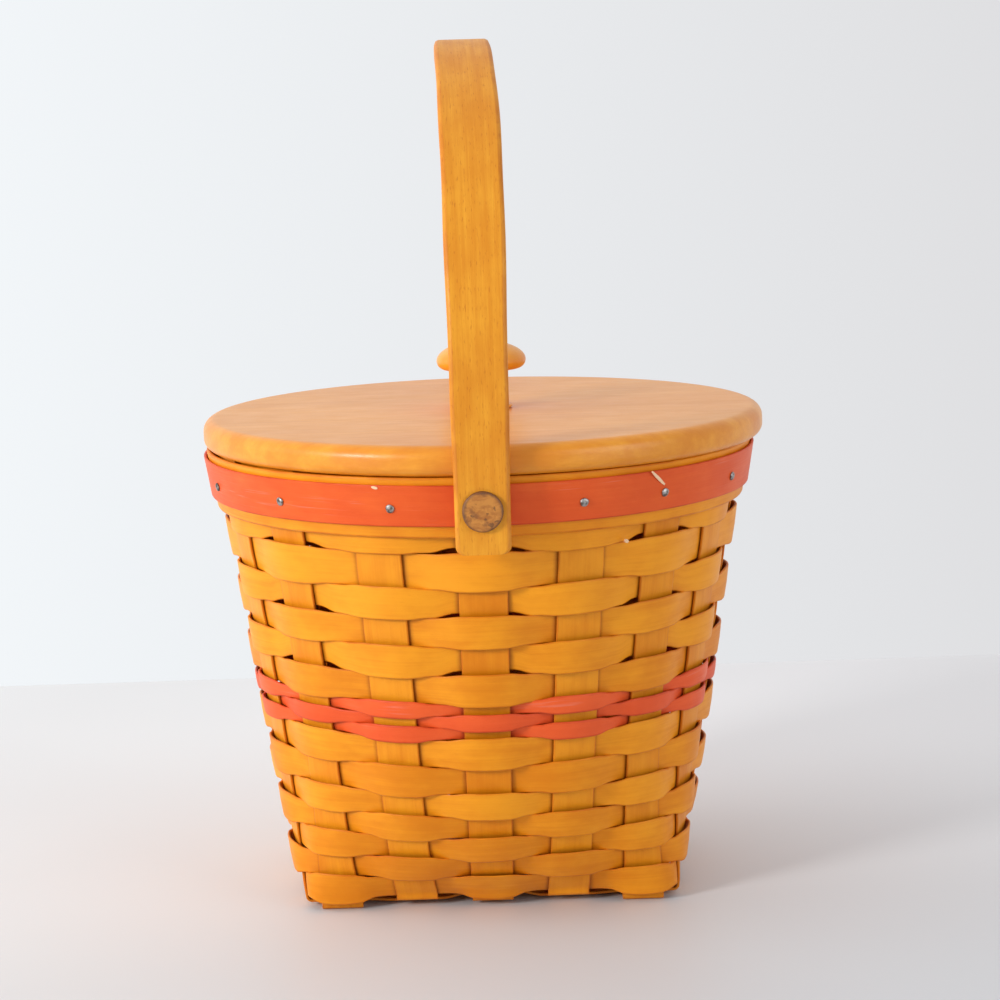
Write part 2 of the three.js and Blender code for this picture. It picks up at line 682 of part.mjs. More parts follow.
// Knob: foot, waist and mushroom cap, with a blind hole for its screw
const KNOB_Z = LID_TOP_Z + SEAT_GAP;
const knobUnderside = KNOB_WIDEST - KNOB_EDGE_ROUND;
const knobWaist = [KNOB_FOOT_RADIUS - KNOB_WAIST_RADIUS, (knobUnderside - KNOB_FOOT_HEIGHT) / 2];
const knobBlank = turned([
  [0, 0],
  [KNOB_FOOT_RADIUS, 0],
  ...arcPoints([KNOB_FOOT_RADIUS, KNOB_FOOT_HEIGHT + knobWaist[1]], knobWaist, -1, -3, 6),
  ...roundedEdge(KNOB_RADIUS, knobUnderside, KNOB_EDGE_ROUND, -1, 0, 3),
  ...arcPoints([0, KNOB_WIDEST], [KNOB_RADIUS, KNOB_HEIGHT - KNOB_WIDEST], 0, 1, 5).slice(1),
], KNOB_STEPS);
const boreEnd = KNOB_SCREW_BITE + SCREW_HOLE_GAP;
const knobBore = screwHole(SCREW_RADIUS + SCREW_HOLE_GAP, -boreEnd, boreEnd);
const knob = piece('lid_knob', drill(knobBlank, [knobBore]), woodMaterial(PALE_WOOD, 0.35));
knob.position.z = KNOB_Z;
lid.add(knob);

// A round-head wood screw standing on its head, with its point up
function screwGeometry(shankLength) {
  const pointZ = SCREW_HEAD_HEIGHT + shankLength;
  return turned([
    ...arcPoints([0, SCREW_HEAD_HEIGHT], [SCREW_HEAD_RADIUS, SCREW_HEAD_HEIGHT], -1, 0, 3),
    [SCREW_RADIUS, SCREW_HEAD_HEIGHT],
    [SCREW_RADIUS, pointZ - SCREW_POINT],
    [0, pointZ],
  ], SCREW_STEPS);
}

const knobShank = SEAT_GAP + LID_THICKNESS + KNOB_SCREW_BITE;
const knobScrew = piece('knob_screw', screwGeometry(knobShank), steelMaterial());
knobScrew.position.z = LID_Z - SEAT_GAP - SCREW_HEAD_HEIGHT;
lid.add(knobScrew);

for (let i = 0; i < DISC_SCREWS; i += 1) {
  const shankLength = LID_DISC_THICKNESS - SCREW_HEAD_HEIGHT + DISC_SCREW_BITE;
  const screw = piece(`lid_disc_screw_${i + 1}`, screwGeometry(shankLength), steelMaterial());
  screw.position.copy(discScrewPlace(i)).setZ(LID_DISC_Z - SEAT_GAP);
  lid.add(screw);
}
lid.position.x = LID_SHIFT;

// Handle: two straight legs and a half hoop, a little wider at the shoulders and leaning to -X at the top
const ARCH_Z = PIVOT_Z + HANDLE_LEG_RISE;
const LEG_END_Z = PIVOT_Z - HANDLE_LEG_TAIL;

function leanAt(z) {
  const part = Math.max(0, (z - ARCH_Z) / HANDLE_OUT);
  return -HANDLE_LEAN * part ** HANDLE_LEAN_POWER;
}

// Rounded rectangle across the handle, between its inner and outer face
function handleSection(centre, outward, width) {
  const halfWidth = width / 2;
  const halfThickness = HANDLE_THICKNESS / 2;
  const soft = HANDLE_EDGE_ROUND;
  const corners = [
    [halfWidth, halfThickness - soft], [halfWidth - soft, halfThickness],
    [-halfWidth + soft, halfThickness], [-halfWidth, halfThickness - soft],
    [-halfWidth, -halfThickness + soft], [-halfWidth + soft, -halfThickness],
    [halfWidth - soft, -halfThickness], [halfWidth, -halfThickness + soft],
  ];
  return corners.map(([across, through]) => {
    const point = offsetPoint(centre, outward, through);
    point.x += across + leanAt(centre.z);
    return point;
  });
}

function legWidth(z) {
  const aboveEnd = z - LEG_END_Z;
  const taper = Math.min(1, aboveEnd / HANDLE_LEG_RISE);
  const width = THREE.MathUtils.lerp(HANDLE_END_WIDTH, HANDLE_WIDTH, taper);
  const round = Math.max(0, HANDLE_END_ROUND - aboveEnd);
  return width - 2 * (HANDLE_END_ROUND - Math.sqrt(HANDLE_END_ROUND ** 2 - round ** 2));
}

function legSections(sideY) {
  const outward = new THREE.Vector3(0, sideY, 0);
  const middle = sideY * (HANDLE_IN + HANDLE_THICKNESS / 2);
  const cornerTop = LEG_END_Z + HANDLE_END_ROUND;
  const heights = [];
  for (let step = 0; step <= LEG_CORNER_STEPS; step += 1) {
    heights.push(cornerTop - HANDLE_END_ROUND * Math.cos((Math.PI / 2) * (step / LEG_CORNER_STEPS)));
  }
  for (let step = 1; step < LEG_STEPS; step += 1) {
    heights.push(THREE.MathUtils.lerp(cornerTop, ARCH_Z, step / LEG_STEPS));
  }
  return heights.map((z) => handleSection(new THREE.Vector3(0, middle, z), outward, legWidth(z)));
}

const archSections = [];
for (let step = 0; step <= ARCH_STEPS; step += 1) {
  const angle = (Math.PI * step) / ARCH_STEPS;
  const outward = new THREE.Vector3(0, -Math.cos(angle), Math.sin(angle));
  const centre = outward.clone().multiplyScalar(HANDLE_IN + HANDLE_THICKNESS / 2);
  centre.z += ARCH_Z;
  const swell = HANDLE_SHOULDER_SWELL * Math.abs(Math.sin(2 * angle));
  archSections.push(handleSection(centre, outward, HANDLE_WIDTH + swell));
}
const bentStrip = bar([...legSections(-1), ...archSections, ...legSections(1).reverse()], false);
const swingHole = pegHole(PEG_RADIUS + PEG_RUNNING_GAP);
handle.add(piece('handle_hoop', drill(bentStrip, [swingHole]), woodMaterial(HONEY_LIGHT, 0.45)));

const group = new THREE.Group();
group.add(basket, lid, handle);

export default group;
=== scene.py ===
# Lidded basket of flat wood splints, with a bentwood swing handle: its finish, light and camera.
# Lengths are millimetres until a mesh is made. +Z is up and -Y is the front, as in the frame.
import math

import bpy
import numpy as np
from mathutils import Matrix, Vector


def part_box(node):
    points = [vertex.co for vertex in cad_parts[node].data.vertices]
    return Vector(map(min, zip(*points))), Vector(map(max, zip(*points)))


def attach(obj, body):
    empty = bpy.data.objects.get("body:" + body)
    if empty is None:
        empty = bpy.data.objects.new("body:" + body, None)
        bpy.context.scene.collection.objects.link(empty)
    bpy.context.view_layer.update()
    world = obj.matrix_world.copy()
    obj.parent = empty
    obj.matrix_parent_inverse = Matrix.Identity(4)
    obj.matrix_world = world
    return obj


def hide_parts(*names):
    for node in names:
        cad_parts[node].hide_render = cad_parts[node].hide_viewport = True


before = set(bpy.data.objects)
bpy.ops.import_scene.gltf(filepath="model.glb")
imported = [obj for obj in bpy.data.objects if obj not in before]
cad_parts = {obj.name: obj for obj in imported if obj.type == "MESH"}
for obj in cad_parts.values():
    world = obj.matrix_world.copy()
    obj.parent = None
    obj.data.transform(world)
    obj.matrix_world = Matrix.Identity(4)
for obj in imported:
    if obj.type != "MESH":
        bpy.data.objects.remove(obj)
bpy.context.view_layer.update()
MM = 0.001
random = np.random.default_rng(7)


def box_mm(node):
    low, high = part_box(node)
    return np.array(low) / MM, np.array(high) / MM


def middle_mm(node):
    low, high = box_mm(node)
    return (low + high) / 2


# Uprights and the wall, as the solids have them
SIDES = 4
FRONT_BACK_SPLINTS = 5
LEFT_RIGHT_SPLINTS = 3
UPRIGHTS = 2 * (FRONT_BACK_SPLINTS + LEFT_RIGHT_SPLINTS)
FRONT = 0
BACK = UPRIGHTS // 2
FRONT_END = 2
SIDE_END = 1
FRONT_BACK_PITCH = 30.8
LEFT_RIGHT_PITCH = 39.0
SPLINT_WIDTH_BASE = 16.8
SPLINT_WIDTH_RIM = 19.8
SPLINT_THICKNESS = 1.2
SPLINT_STEP = 1.6
WEAVE_LAP = 1.6
SPLINT_EDGE = SPLINT_WIDTH_BASE / 2 + WEAVE_LAP
BEND_RADIUS = 2.0
BASE_MARGIN = 2.5
BASE_BORDER = SPLINT_EDGE + BASE_MARGIN + BEND_RADIUS
BASE_HALF_WIDTH = FRONT_END * FRONT_BACK_PITCH + BASE_BORDER
BASE_HALF_DEPTH = SIDE_END * LEFT_RIGHT_PITCH + BASE_BORDER
BASE_ARCH = 1.4
RIM_RADIUS = 109.35
ROUNDING_POWER = 7
BELLY = 6.3
BELLY_FADE_POWER = 1.5
RIM_DRIFT = np.array([
    -0.3, -1, -2.5, -3.7, -3, -2.5, -1.8, -1, -0.3, -0.7, -1.2, -1.7, -2.2, -2.6, -2.3, -0.6,
])
EDGE_SHARE = 0.24  # an upright's edges, as a share of the way to the next upright

# Weave
STRIP_THICKNESS = 1.1
BOW_OUT = 2.9  # how far a weaver bows out over an upright
BOW_OUT_UNDER_BAND = 1.8
BOW_IN = 1.55  # and how far it passes behind one
WEAVE_FLATNESS = 0.7  # rounds the wave off where it crosses an upright
WEAVER_STEP = 2.2
SEAM_HALF = 0.004  # half the gap between the ends of a hoop, in uprights
UPRIGHT_SWING = 0.25
RED_SWING_SHARE = 0.4
EDGE_EASE = 0.32
EDGE_SUPPORT = 0.3  # from an eased edge to the first point on the flat

# Rim, out from the middle of the wall
OUTER_BAND_IN = 2.7
BAND_THICKNESS = 2.0
TRIM_IN = 5.1
TRIM_THICKNESS = 1.2
TRIM_FACE = TRIM_IN + TRIM_THICKNESS

BAND_Z, RIM_Z = (corner[2] for corner in box_mm("rim_band_outer"))
FIRST_ROW_Z = box_mm("weaver_1")[0][2]
TRIM_MIDDLE_Z = middle_mm("rim_trim_red")[2]
PIVOT_Z = middle_mm("handle_peg_front")[2]
RIM_FLAT_RADIUS = math.sqrt(RIM_RADIUS**2 - (SPLINT_WIDTH_RIM / 2 + WEAVE_LAP) ** 2)

# How finely the wall is sampled, and how far the random draws reach
NEARBY_T = 0.02
NEARBY_Z = 0.5
RIM_SAMPLES = 6400
SAMPLES_PER_UPRIGHT = 40
PHASE_RANGE = 7
GRAIN_RANGE = 9000


# The wall as a smooth surface. A place on it is t, counted in uprights from the front middle one
# towards +X, and a height z. Both may be arrays.

def radial(angle):
    return np.stack([np.sin(angle), -np.cos(angle), np.zeros_like(angle)], -1)


def rim_angle(upright):
    drift = RIM_DRIFT[np.mod(upright, UPRIGHTS).astype(int)]
    return np.radians(360 / UPRIGHTS * upright + drift)


def rotated(points, angle):
    x = points[..., 0] * np.cos(angle) - points[..., 1] * np.sin(angle)
    y = points[..., 0] * np.sin(angle) + points[..., 1] * np.cos(angle)
    return np.stack([x, y, points[..., 2]], -1)


def side_of(upright):
    from_corner = np.mod(upright, UPRIGHTS) + FRONT_END
    half = np.floor(from_corner / (UPRIGHTS / 2))
    return 2 * half + np.where(np.mod(from_corner, UPRIGHTS / 2) < FRONT_BACK_SPLINTS, 0, 1)


def roundness(z):
    part = np.clip((z - FIRST_ROW_Z) / (RIM_Z - FIRST_ROW_Z), 0, 1)
    return 1 - (1 - part) ** ROUNDING_POWER


def face_radius(z):
    part = np.clip(z / RIM_Z, 0, 1)
    belly = BELLY * roundness(z) * (1 - part) ** BELLY_FADE_POWER
    return BASE_HALF_WIDTH + (RIM_FLAT_RADIUS - BASE_HALF_WIDTH) * part + belly


def splint_half(z):
    part = np.clip(z / RIM_Z, 0, 1)
    return (SPLINT_WIDTH_BASE + (SPLINT_WIDTH_RIM - SPLINT_WIDTH_BASE) * part) / 2


def wall(t, z):
    """Points on the middle of the wall, and the outward directions there."""
    t, z = np.broadcast_arrays(np.asarray(t, float), np.asarray(z, float))
    upright = np.floor(t + 0.5)
    share = t - upright
    turn = np.where(share < 0, -1.0, 1.0)
    across = np.minimum(np.abs(share) / EDGE_SHARE, 1)
    beyond = np.clip((np.abs(share) - EDGE_SHARE) / (1 - 2 * EDGE_SHARE), 0, 1)
    half = splint_half(z)

    radius = np.hypot(face_radius(z), half + WEAVE_LAP)
    edge_angle = np.arcsin(half / radius)
    gap = rim_angle(upright + turn) - rim_angle(upright) - 2 * turn * edge_angle
    angle = rim_angle(upright) + turn * np.arcsin(across * half / radius) + beyond * gap
    ring_out = radial(angle)
    on_ring = ring_out * radius[..., None]

    side = side_of(upright)
    is_long = np.mod(side, 2) == 0
    place = np.mod(upright, UPRIGHTS) - side * UPRIGHTS / SIDES
    growth = face_radius(z) / BASE_HALF_WIDTH
    pitch = np.where(is_long, FRONT_BACK_PITCH, LEFT_RIGHT_PITCH) * growth
    depth = np.where(is_long, BASE_HALF_DEPTH, BASE_HALF_WIDTH) * growth
    at_corner = place * turn == np.where(is_long, FRONT_END, SIDE_END)
    corner = BASE_BORDER * growth - half
    bend = np.where(at_corner, beyond * math.pi / 2, 0)
    straight = across * half + np.where(at_corner, corner * np.sin(bend), beyond * (pitch - 2 * half))
    x = place * pitch + turn * straight
    y = -depth + corner * (1 - np.cos(bend))
    on_oblong = rotated(np.stack([x, y, np.zeros_like(x)], -1), side * math.pi / 2)
    oblong_out = radial(side * math.pi / 2 + turn * bend)

    share_round = roundness(z)[..., None]
    points = on_oblong * (1 - share_round) + on_ring * share_round
    out = oblong_out * (1 - share_round) + ring_out * share_round
    out /= np.linalg.norm(out, axis=-1, keepdims=True)
    points[..., 2] = z
    return points, out


def wall_frame(t, z):
    """A point on the wall with the directions along it, up it and square to it."""
    point, _ = wall(t, z)
    along = wall(t + NEARBY_T, z)[0] - wall(t - NEARBY_T, z)[0]
    up = wall(t, z + NEARBY_Z)[0] - wall(t, z - NEARBY_Z)[0]
    along /= np.linalg.norm(along)
    up /= np.linalg.norm(up)
    normal = np.cross(along, up)
    return point, along, up, normal / np.linalg.norm(normal)


def place_at(x, y):
    """The place t on the rim that faces a point."""
    dense = np.linspace(0, UPRIGHTS, RIM_SAMPLES, endpoint=False)
    points, _ = wall(dense, RIM_Z)
    facing = (points[:, 0] * x + points[:, 1] * y) / np.hypot(points[:, 0], points[:, 1])
    return dense[int(np.argmax(facing))]


def lengths_along(points):
    """How far along a row of points each one lies."""
    return np.concatenate([[0], np.cumsum(np.linalg.norm(np.diff(points, axis=0), axis=1))])


def even_steps(seam, z, step):
    """Places t about one step apart at a height, from a seam round the wall and back to it."""
    turns = 1 - 2 * SEAM_HALF / UPRIGHTS
    count = int(turns * UPRIGHTS * SAMPLES_PER_UPRIGHT) + 1
    dense = seam + SEAM_HALF + np.linspace(0, turns * UPRIGHTS, count)
    points, _ = wall(dense, z)
    length = lengths_along(points)
    count = int(length[-1] / step) + 1
    along = np.linspace(0, length[-1], count)
    return np.interp(along, length, dense), along


def smooth_step(value, low, high):
    x = np.clip((value - low) / (high - low), 0, 1)
    return x * x * (3 - 2 * x)


def drifting(along, waves, rise):
    """A smooth random wander of so many waves that ends as it begins."""
    whole = along[-1]
    total = np.zeros_like(along)
    for k in range(1, waves + 1):
        total += random.normal() * np.sin(2 * math.pi * k * along / whole + random.uniform(0, PHASE_RANGE))
    return rise * total / math.sqrt(waves / 2)


# Meshes

def strip_profile(width, thickness, ease, supports):
    """Section of a flat strip with eased edges: across, through, and 1 on the eased edges."""
    flats = np.linspace(-1, 1, supports) * (width / 2 - ease - EDGE_SUPPORT)
    points = []
    for across, through, first in ((1, 1, 0), (-1, 1, 90), (-1, -1, 180), (1, -1, 270)):
        centre = np.array([across * (width / 2 - ease), through * (thickness / 2 - ease)])
        for degrees in (0, 45, 90):
            turn = math.radians(first + degrees)
            spot = centre + ease * np.array([math.cos(turn), math.sin(turn)])
            points.append((spot[0], spot[1], 1.0))
        if first == 0:
            points += [(x, thickness / 2, 0.0) for x in flats[::-1]]
        if first == 180:
            points += [(x, -thickness / 2, 0.0) for x in flats]
    return np.array(points).T


def new_mesh(name, points, faces, grain, wear_and_shade):
    """A piece with its grain coordinates in metres, and its wear and shade: edge, painted shade where tucked
    in, and a tint.
    """
    mesh = bpy.data.meshes.new(name)
    mesh.from_pydata((points * MM).tolist(), [], faces)
    mesh.polygons.foreach_set("use_smooth", [True] * len(mesh.polygons))
    for label, values in (("grain", grain * MM), ("wear_and_shade", wear_and_shade)):
        layer = mesh.attributes.new(label, "FLOAT_VECTOR", "POINT")
        layer.data.foreach_set("vector", np.ascontiguousarray(values, np.float32).ravel())
    mesh.update()
    made = bpy.data.objects.new(name, mesh)
    bpy.context.scene.collection.objects.link(made)
    return made


def signed_volume(points, faces):
    total = 0.0
    for face in faces:
        for j in range(1, len(face) - 1):
            total += np.dot(points[face[0]], np.cross(points[face[j]], points[face[j + 1]]))
    return total


def tube(name, rings, grain, wear_and_shade):
    """A solid through a row of like rings of points, capped at both ends."""
    spans, around = rings.shape[0], rings.shape[1]
    points = rings.reshape(-1, 3)
    faces = []
    for i in range(spans - 1):
        here, there = i * around, (i + 1) * around
        for j in range(around):
            k = (j + 1) % around
            faces.append((here + j, here + k, there + k, there + j))
    faces.append(tuple(range(around))[::-1])
    faces.append(tuple((spans - 1) * around + j for j in range(around)))
    if signed_volume(points, faces) < 0:
        faces = [face[::-1] for face in faces]
    return new_mesh(name, points, faces, grain.reshape(-1, 3), wear_and_shade.reshape(-1, 3))


def strip(name, points, along, across, edge, tuck_shade=0.0, body="basket"):
    """A wood strip whose grain runs along it."""
    offset = random.uniform(0, GRAIN_RANGE, 2)
    shape = points.shape[:2]
    grain = np.zeros((*shape, 3))
    grain[..., 0] = along + offset[0]
    grain[..., 1] = across + offset[1]
    wear_and_shade = np.zeros((*shape, 3))
    wear_and_shade[..., 0] = edge
    # Channel 1 holds painted shade where a strip tucks in behind or under its neighbours
    wear_and_shade[..., 1] = tuck_shade
    wear_and_shade[..., 2] = random.uniform(0, 1)
    made = tube(name, points, grain, wear_and_shade)
    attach(made, body)
    return made


def arc(centre, radii, start, end, steps):
    """Part of an ellipse in a profile, from and to an angle in quarter turns."""
    turns = np.linspace(start, end, steps + 1) * math.pi / 2
    return [(centre[0] + radii[0] * math.cos(a), centre[1] + radii[1] * math.sin(a)) for a in turns]


UPWARDS = np.eye(3)


def turned(name, profile, steps, place, body, axes=UPWARDS, edge_from=None, wobble=0.0):
    """A turned solid about the third of its axes, with the grain of the block it was cut from.
    Beyond the radius edge_from it counts as edge. It is out of round by the share wobble."""
    profile = np.asarray(profile, float)
    inner = profile[profile[:, 0] > 1e-6]
    angle = np.linspace(0, 2 * math.pi, steps, endpoint=False)
    ring = np.stack([np.cos(angle), np.sin(angle)], -1)
    ring *= (1 + wobble * np.sin(3 * angle + 1) + 0.6 * wobble * np.sin(5 * angle))[:, None]
    points = [np.array([[0, 0, profile[0, 1]]])]
    for radius, z in inner:
        points.append(np.column_stack([ring * radius, np.full(steps, z)]))
    points.append(np.array([[0, 0, profile[-1, 1]]]))
    points = np.concatenate(points)
    faces = []
    count = len(inner)
    for i in range(count - 1):
        for j in range(steps):
            k = (j + 1) % steps
            a, b = 1 + i * steps, 1 + (i + 1) * steps
            faces.append((a + j, a + k, b + k, b + j))
    last = len(points) - 1
    for j in range(steps):
        k = (j + 1) % steps
        faces.append((0, 1 + k, 1 + j))
        top = 1 + (count - 1) * steps
        faces.append((last, top + j, top + k))
    if signed_volume(points, faces) < 0:
        faces = [face[::-1] for face in faces]
    grain = points + random.uniform(0, GRAIN_RANGE, 3) * np.array([1, 1, 0])
    wear_and_shade = np.zeros_like(points)
    if edge_from is not None:
        distance = np.linalg.norm(points[:, :2], axis=1)
        wear_and_shade[:, 0] = smooth_step(distance, edge_from, distance.max())
    wear_and_shade[:, 2] = random.uniform(0, 1)
    made = new_mesh(name, points @ axes + np.asarray(place, float), faces, grain, wear_and_shade)
    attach(made, body)
    return made


# Materials

def colour_sockets(sockets):
    return [socket for socket in sockets if socket.type == "RGBA"]


class Nodes:
    """Short names for making and joining shader nodes."""

    def __init__(self, name):
        self.material = bpy.data.materials.new(name)
        self.material.use_nodes = True
        self.tree = self.material.node_tree
        self.shader = self.tree.nodes["Principled BSDF"]

    def add(self, kind, **settings):
        node = self.tree.nodes.new(kind)
        for key, value in settings.items():
            setattr(node, key, value)
        return node

    def link(self, source, target):
        self.tree.links.new(source, target)

    def attribute(self, name):
        return self.add("ShaderNodeAttribute", attribute_name=name).outputs["Vector"]

    def parts(self, vector):
        node = self.add("ShaderNodeSeparateXYZ")
        self.link(vector, node.inputs[0])
        return node.outputs

    def stretched(self, vector, scale):
        node = self.add("ShaderNodeVectorMath", operation="MULTIPLY")
        self.link(vector, node.inputs[0])
        node.inputs[1].default_value = scale
        return node.outputs[0]

    def noise(self, vector, detail=3.0, roughness=0.55, distortion=0.0):
        node = self.add("ShaderNodeTexNoise")
        node.inputs["Scale"].default_value = 1
        node.inputs["Detail"].default_value = detail
        node.inputs["Roughness"].default_value = roughness
        node.inputs["Distortion"].default_value = distortion
        self.link(vector, node.inputs["Vector"])
        return node.outputs["Fac"]

    def spread(self, value, low, high, to_low=0.0, to_high=1.0):
        """value from low..high to to_low..to_high, clamped and eased."""
        node = self.add("ShaderNodeMapRange", interpolation_type="SMOOTHSTEP")
        for name, number in (
            ("From Min", low), ("From Max", high), ("To Min", to_low), ("To Max", to_high),
        ):
            node.inputs[name].default_value = number
        self.link(value, node.inputs["Value"])
        return node.outputs["Result"]

    def maths(self, operation, a, b):
        node = self.add("ShaderNodeMath", operation=operation)
        for socket, value in zip(node.inputs, (a, b)):
            if isinstance(value, (int, float)):
                socket.default_value = value
            else:
                self.link(value, socket)
        return node.outputs[0]

    def total(self, *weighted):
        """Sum of values times their weights."""
        result = None
        for value, weight in weighted:
            term = self.maths("MULTIPLY", value, weight)
            result = term if result is None else self.maths("ADD", result, term)
        return result

    def mix(self, amount, first, second, blend="MIX"):
        node = self.add("ShaderNodeMix", data_type="RGBA", blend_type=blend)
        sockets = [node.inputs[0]] + colour_sockets(node.inputs)
        for socket, value in zip(sockets, (amount, first, second)):
            if isinstance(value, tuple):
                socket.default_value = (*value, 1)
            elif isinstance(value, (int, float)):
                socket.default_value = value
            else:
                self.link(value, socket)
        return colour_sockets(node.outputs)[0]

    def bump(self, height, distance, strength):
        node = self.add("ShaderNodeBump")
        node.inputs["Distance"].default_value = distance
        node.inputs["Strength"].default_value = strength
        self.link(height, node.inputs["Height"])
        return node.outputs["Normal"]


def srgb(red, green, blue):
    """A colour as a screen shows it, 0 to 255, in linear light."""
    def linear(value):
        value /= 255
        return value / 12.92 if value <= 0.04045 else ((value + 0.055) / 1.055) ** 2.4
    return tuple(linear(v) for v in (red, green, blue))


def darker(colour, share):
    return tuple(share * c for c in colour)


TONE_REACH = 0.32  # how far from its middle the tone is fully light or fully dark


def wood(name, light, dark, edge_colour, streak=0.5, fleck=0.0, scratch=0.0,
         roughness=0.45, specular=0.3, coat=0.0, cloud=0.75):
    """Stained wood under varnish: cloudy stain, streaks along the grain, pores, flecks and scratches,
    eased edges of another tone, and painted shade where strips tuck under each other.
    The noises are stretched by so much per metre along the grain, across it and through it."""
    n = Nodes(name)
    grain = n.attribute("grain")
    edge, tuck_shade, tint = n.parts(n.attribute("wear_and_shade"))

    streaks = n.noise(n.stretched(grain, (14, 420, 420)), detail=2.0, distortion=0.3)
    fine = n.noise(n.stretched(grain, (45, 1700, 1700)), detail=3.0)
    cloudy = n.noise(n.stretched(grain, (48, 85, 85)), detail=3.0, roughness=0.6)
    broad = n.noise(n.stretched(grain, (13, 26, 26)), detail=1.0)
    pores = n.noise(n.stretched(grain, (330, 3300, 3300)), detail=1.0)

    weighted = (
        (streaks, 0.9 * streak), (fine, 0.55 * streak), (cloudy, cloud), (broad, 0.45), (tint, 0.3),
    )
    middle = sum(weight for _, weight in weighted) / 2
    tone = n.spread(n.total(*weighted), middle - TONE_REACH, middle + TONE_REACH)
    colour = n.mix(tone, light, dark)
    if fleck:
        ticks = n.noise(n.stretched(grain, (300, 1500, 1500)), detail=1.0)
        colour = n.mix(n.spread(ticks, 0.6, 0.74, 0, fleck), colour, edge_colour)
    colour = n.mix(n.spread(pores, 0.66, 0.82, 0, 0.22), colour, edge_colour)
    if scratch:
        rubs = n.noise(n.stretched(grain, (26, 900, 900)), detail=2.0, distortion=1.2)
        where = n.noise(n.stretched(grain, (22, 60, 60)), detail=2.0)
        seen = n.maths("MULTIPLY", n.spread(rubs, 0.58, 0.72), n.spread(where, 0.5, 0.62))
        pale = tuple(0.45 * c + 0.4 for c in light)
        colour = n.mix(n.maths("MULTIPLY", seen, scratch), colour, pale)
    uneven = n.spread(cloudy, 0.3, 0.7, 0.15, 0.6)
    colour = n.mix(n.maths("MULTIPLY", edge, uneven), colour, edge_colour)
    # Painted shade: darker where the strips tuck in behind the uprights and into the crossings
    colour = n.mix(n.spread(tuck_shade, 0.15, 1.0, 0, 0.8), colour, darker(edge_colour, 0.3))
    n.link(colour, n.shader.inputs["Base Color"])
    rough = n.total((fine, 0.16), (cloudy, 0.14))
    n.link(n.maths("ADD", rough, roughness - 0.15), n.shader.inputs["Roughness"])
    n.shader.inputs["Specular IOR Level"].default_value = specular
    n.shader.inputs["Coat Weight"].default_value = coat
    n.shader.inputs["Coat Roughness"].default_value = 0.2
    relief = n.total((fine, 0.6), (pores, -0.5), (cloudy, 0.8))
    n.link(n.bump(relief, 0.0001, 0.8), n.shader.inputs["Normal"])
    return n.material


def end_grain(name, light, dark, stain):
    """The cut end of a dowel: rings about its own axis, blotched and darker round the rim."""
    n = Nodes(name)
    grain = n.attribute("grain")
    edge, _, _ = n.parts(n.attribute("wear_and_shade"))
    rings = n.noise(n.stretched(grain, (240, 420, 240)), detail=3.0, distortion=0.6)
    blotches = n.noise(n.stretched(grain, (170, 170, 170)), detail=3.0, roughness=0.6)
    spots = n.noise(n.stretched(grain, (360, 360, 360)), detail=2.0)
    colour = n.mix(n.spread(rings, 0.35, 0.65), light, dark)
    colour = n.mix(n.spread(blotches, 0.54, 0.66, 0, 0.5), colour, stain)
    colour = n.mix(n.spread(spots, 0.64, 0.72, 0, 0.7), colour, darker(stain, 0.6))
    ragged = n.maths("ADD", edge, n.spread(blotches, 0.3, 0.7, -0.25, 0.25))
    colour = n.mix(n.spread(ragged, 0.35, 1.0, 0, 0.75), colour, darker(stain, 0.7))
    n.link(colour, n.shader.inputs["Base Color"])
    n.link(n.spread(spots, 0.3, 0.7, 0.4, 0.6), n.shader.inputs["Roughness"])
    n.link(n.bump(n.total((spots, 0.6), (rings, 0.5)), 0.0002, 0.8), n.shader.inputs["Normal"])
    return n.material


def steel(name):
    n = Nodes(name)
    place = n.attribute("grain")
    rough = n.noise(n.stretched(place, (900, 900, 900)), detail=3.0)
    blotch = n.noise(n.stretched(place, (500, 500, 500)), detail=2.0)
    colour = n.mix(n.spread(blotch, 0.4, 0.65), srgb(168, 166, 164), srgb(104, 92, 84))
    n.link(colour, n.shader.inputs["Base Color"])
    n.link(n.spread(rough, 0.3, 0.7, 0.3, 0.5), n.shader.inputs["Roughness"])
    n.shader.inputs["Metallic"].default_value = 0.85
    n.link(n.bump(rough, 0.00008, 0.6), n.shader.inputs["Normal"])
    return n.material


honey = wood("honey_wood", srgb(243, 158, 27), srgb(221, 128, 10), srgb(190, 86, 6), streak=0.45,
             specular=0.25)
upright_wood = wood("upright_wood", srgb(240, 154, 27), srgb(222, 128, 12), srgb(186, 84, 6), streak=0.45,
                    specular=0.25)
red = wood("red_wood", srgb(238, 98, 42), srgb(224, 80, 30), srgb(190, 56, 18), streak=0.3, scratch=0.15)
trim_red = wood("trim_red_wood", srgb(236, 102, 34), srgb(222, 82, 22), srgb(184, 50, 12), streak=0.4,
                scratch=0.2)
handle_wood = wood("handle_wood", srgb(238, 166, 46), srgb(218, 137, 28), srgb(184, 90, 14), streak=0.7,
                   fleck=0.45)
lid_wood = wood("lid_wood", srgb(243, 166, 46), srgb(226, 144, 30), srgb(216, 122, 8), streak=0.6,
                roughness=0.36, specular=0.4, coat=0.15, cloud=0.5)
pale_wood = wood("pale_wood", srgb(222, 172, 100), srgb(196, 140, 70), srgb(150, 98, 38), streak=0.7)
peg_wood = end_grain("peg_wood", srgb(196, 130, 54), srgb(166, 100, 36), srgb(104, 62, 36))
bare_wood = wood("bare_wood", srgb(250, 214, 176), srgb(238, 192, 148), srgb(226, 170, 120), streak=0.6)
steel_metal = steel("steel")


def finish_piece(made, material, slot_name, *nodes):
    made.data.materials.append(material)
    if nodes:
        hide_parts(*nodes)


# Weavers

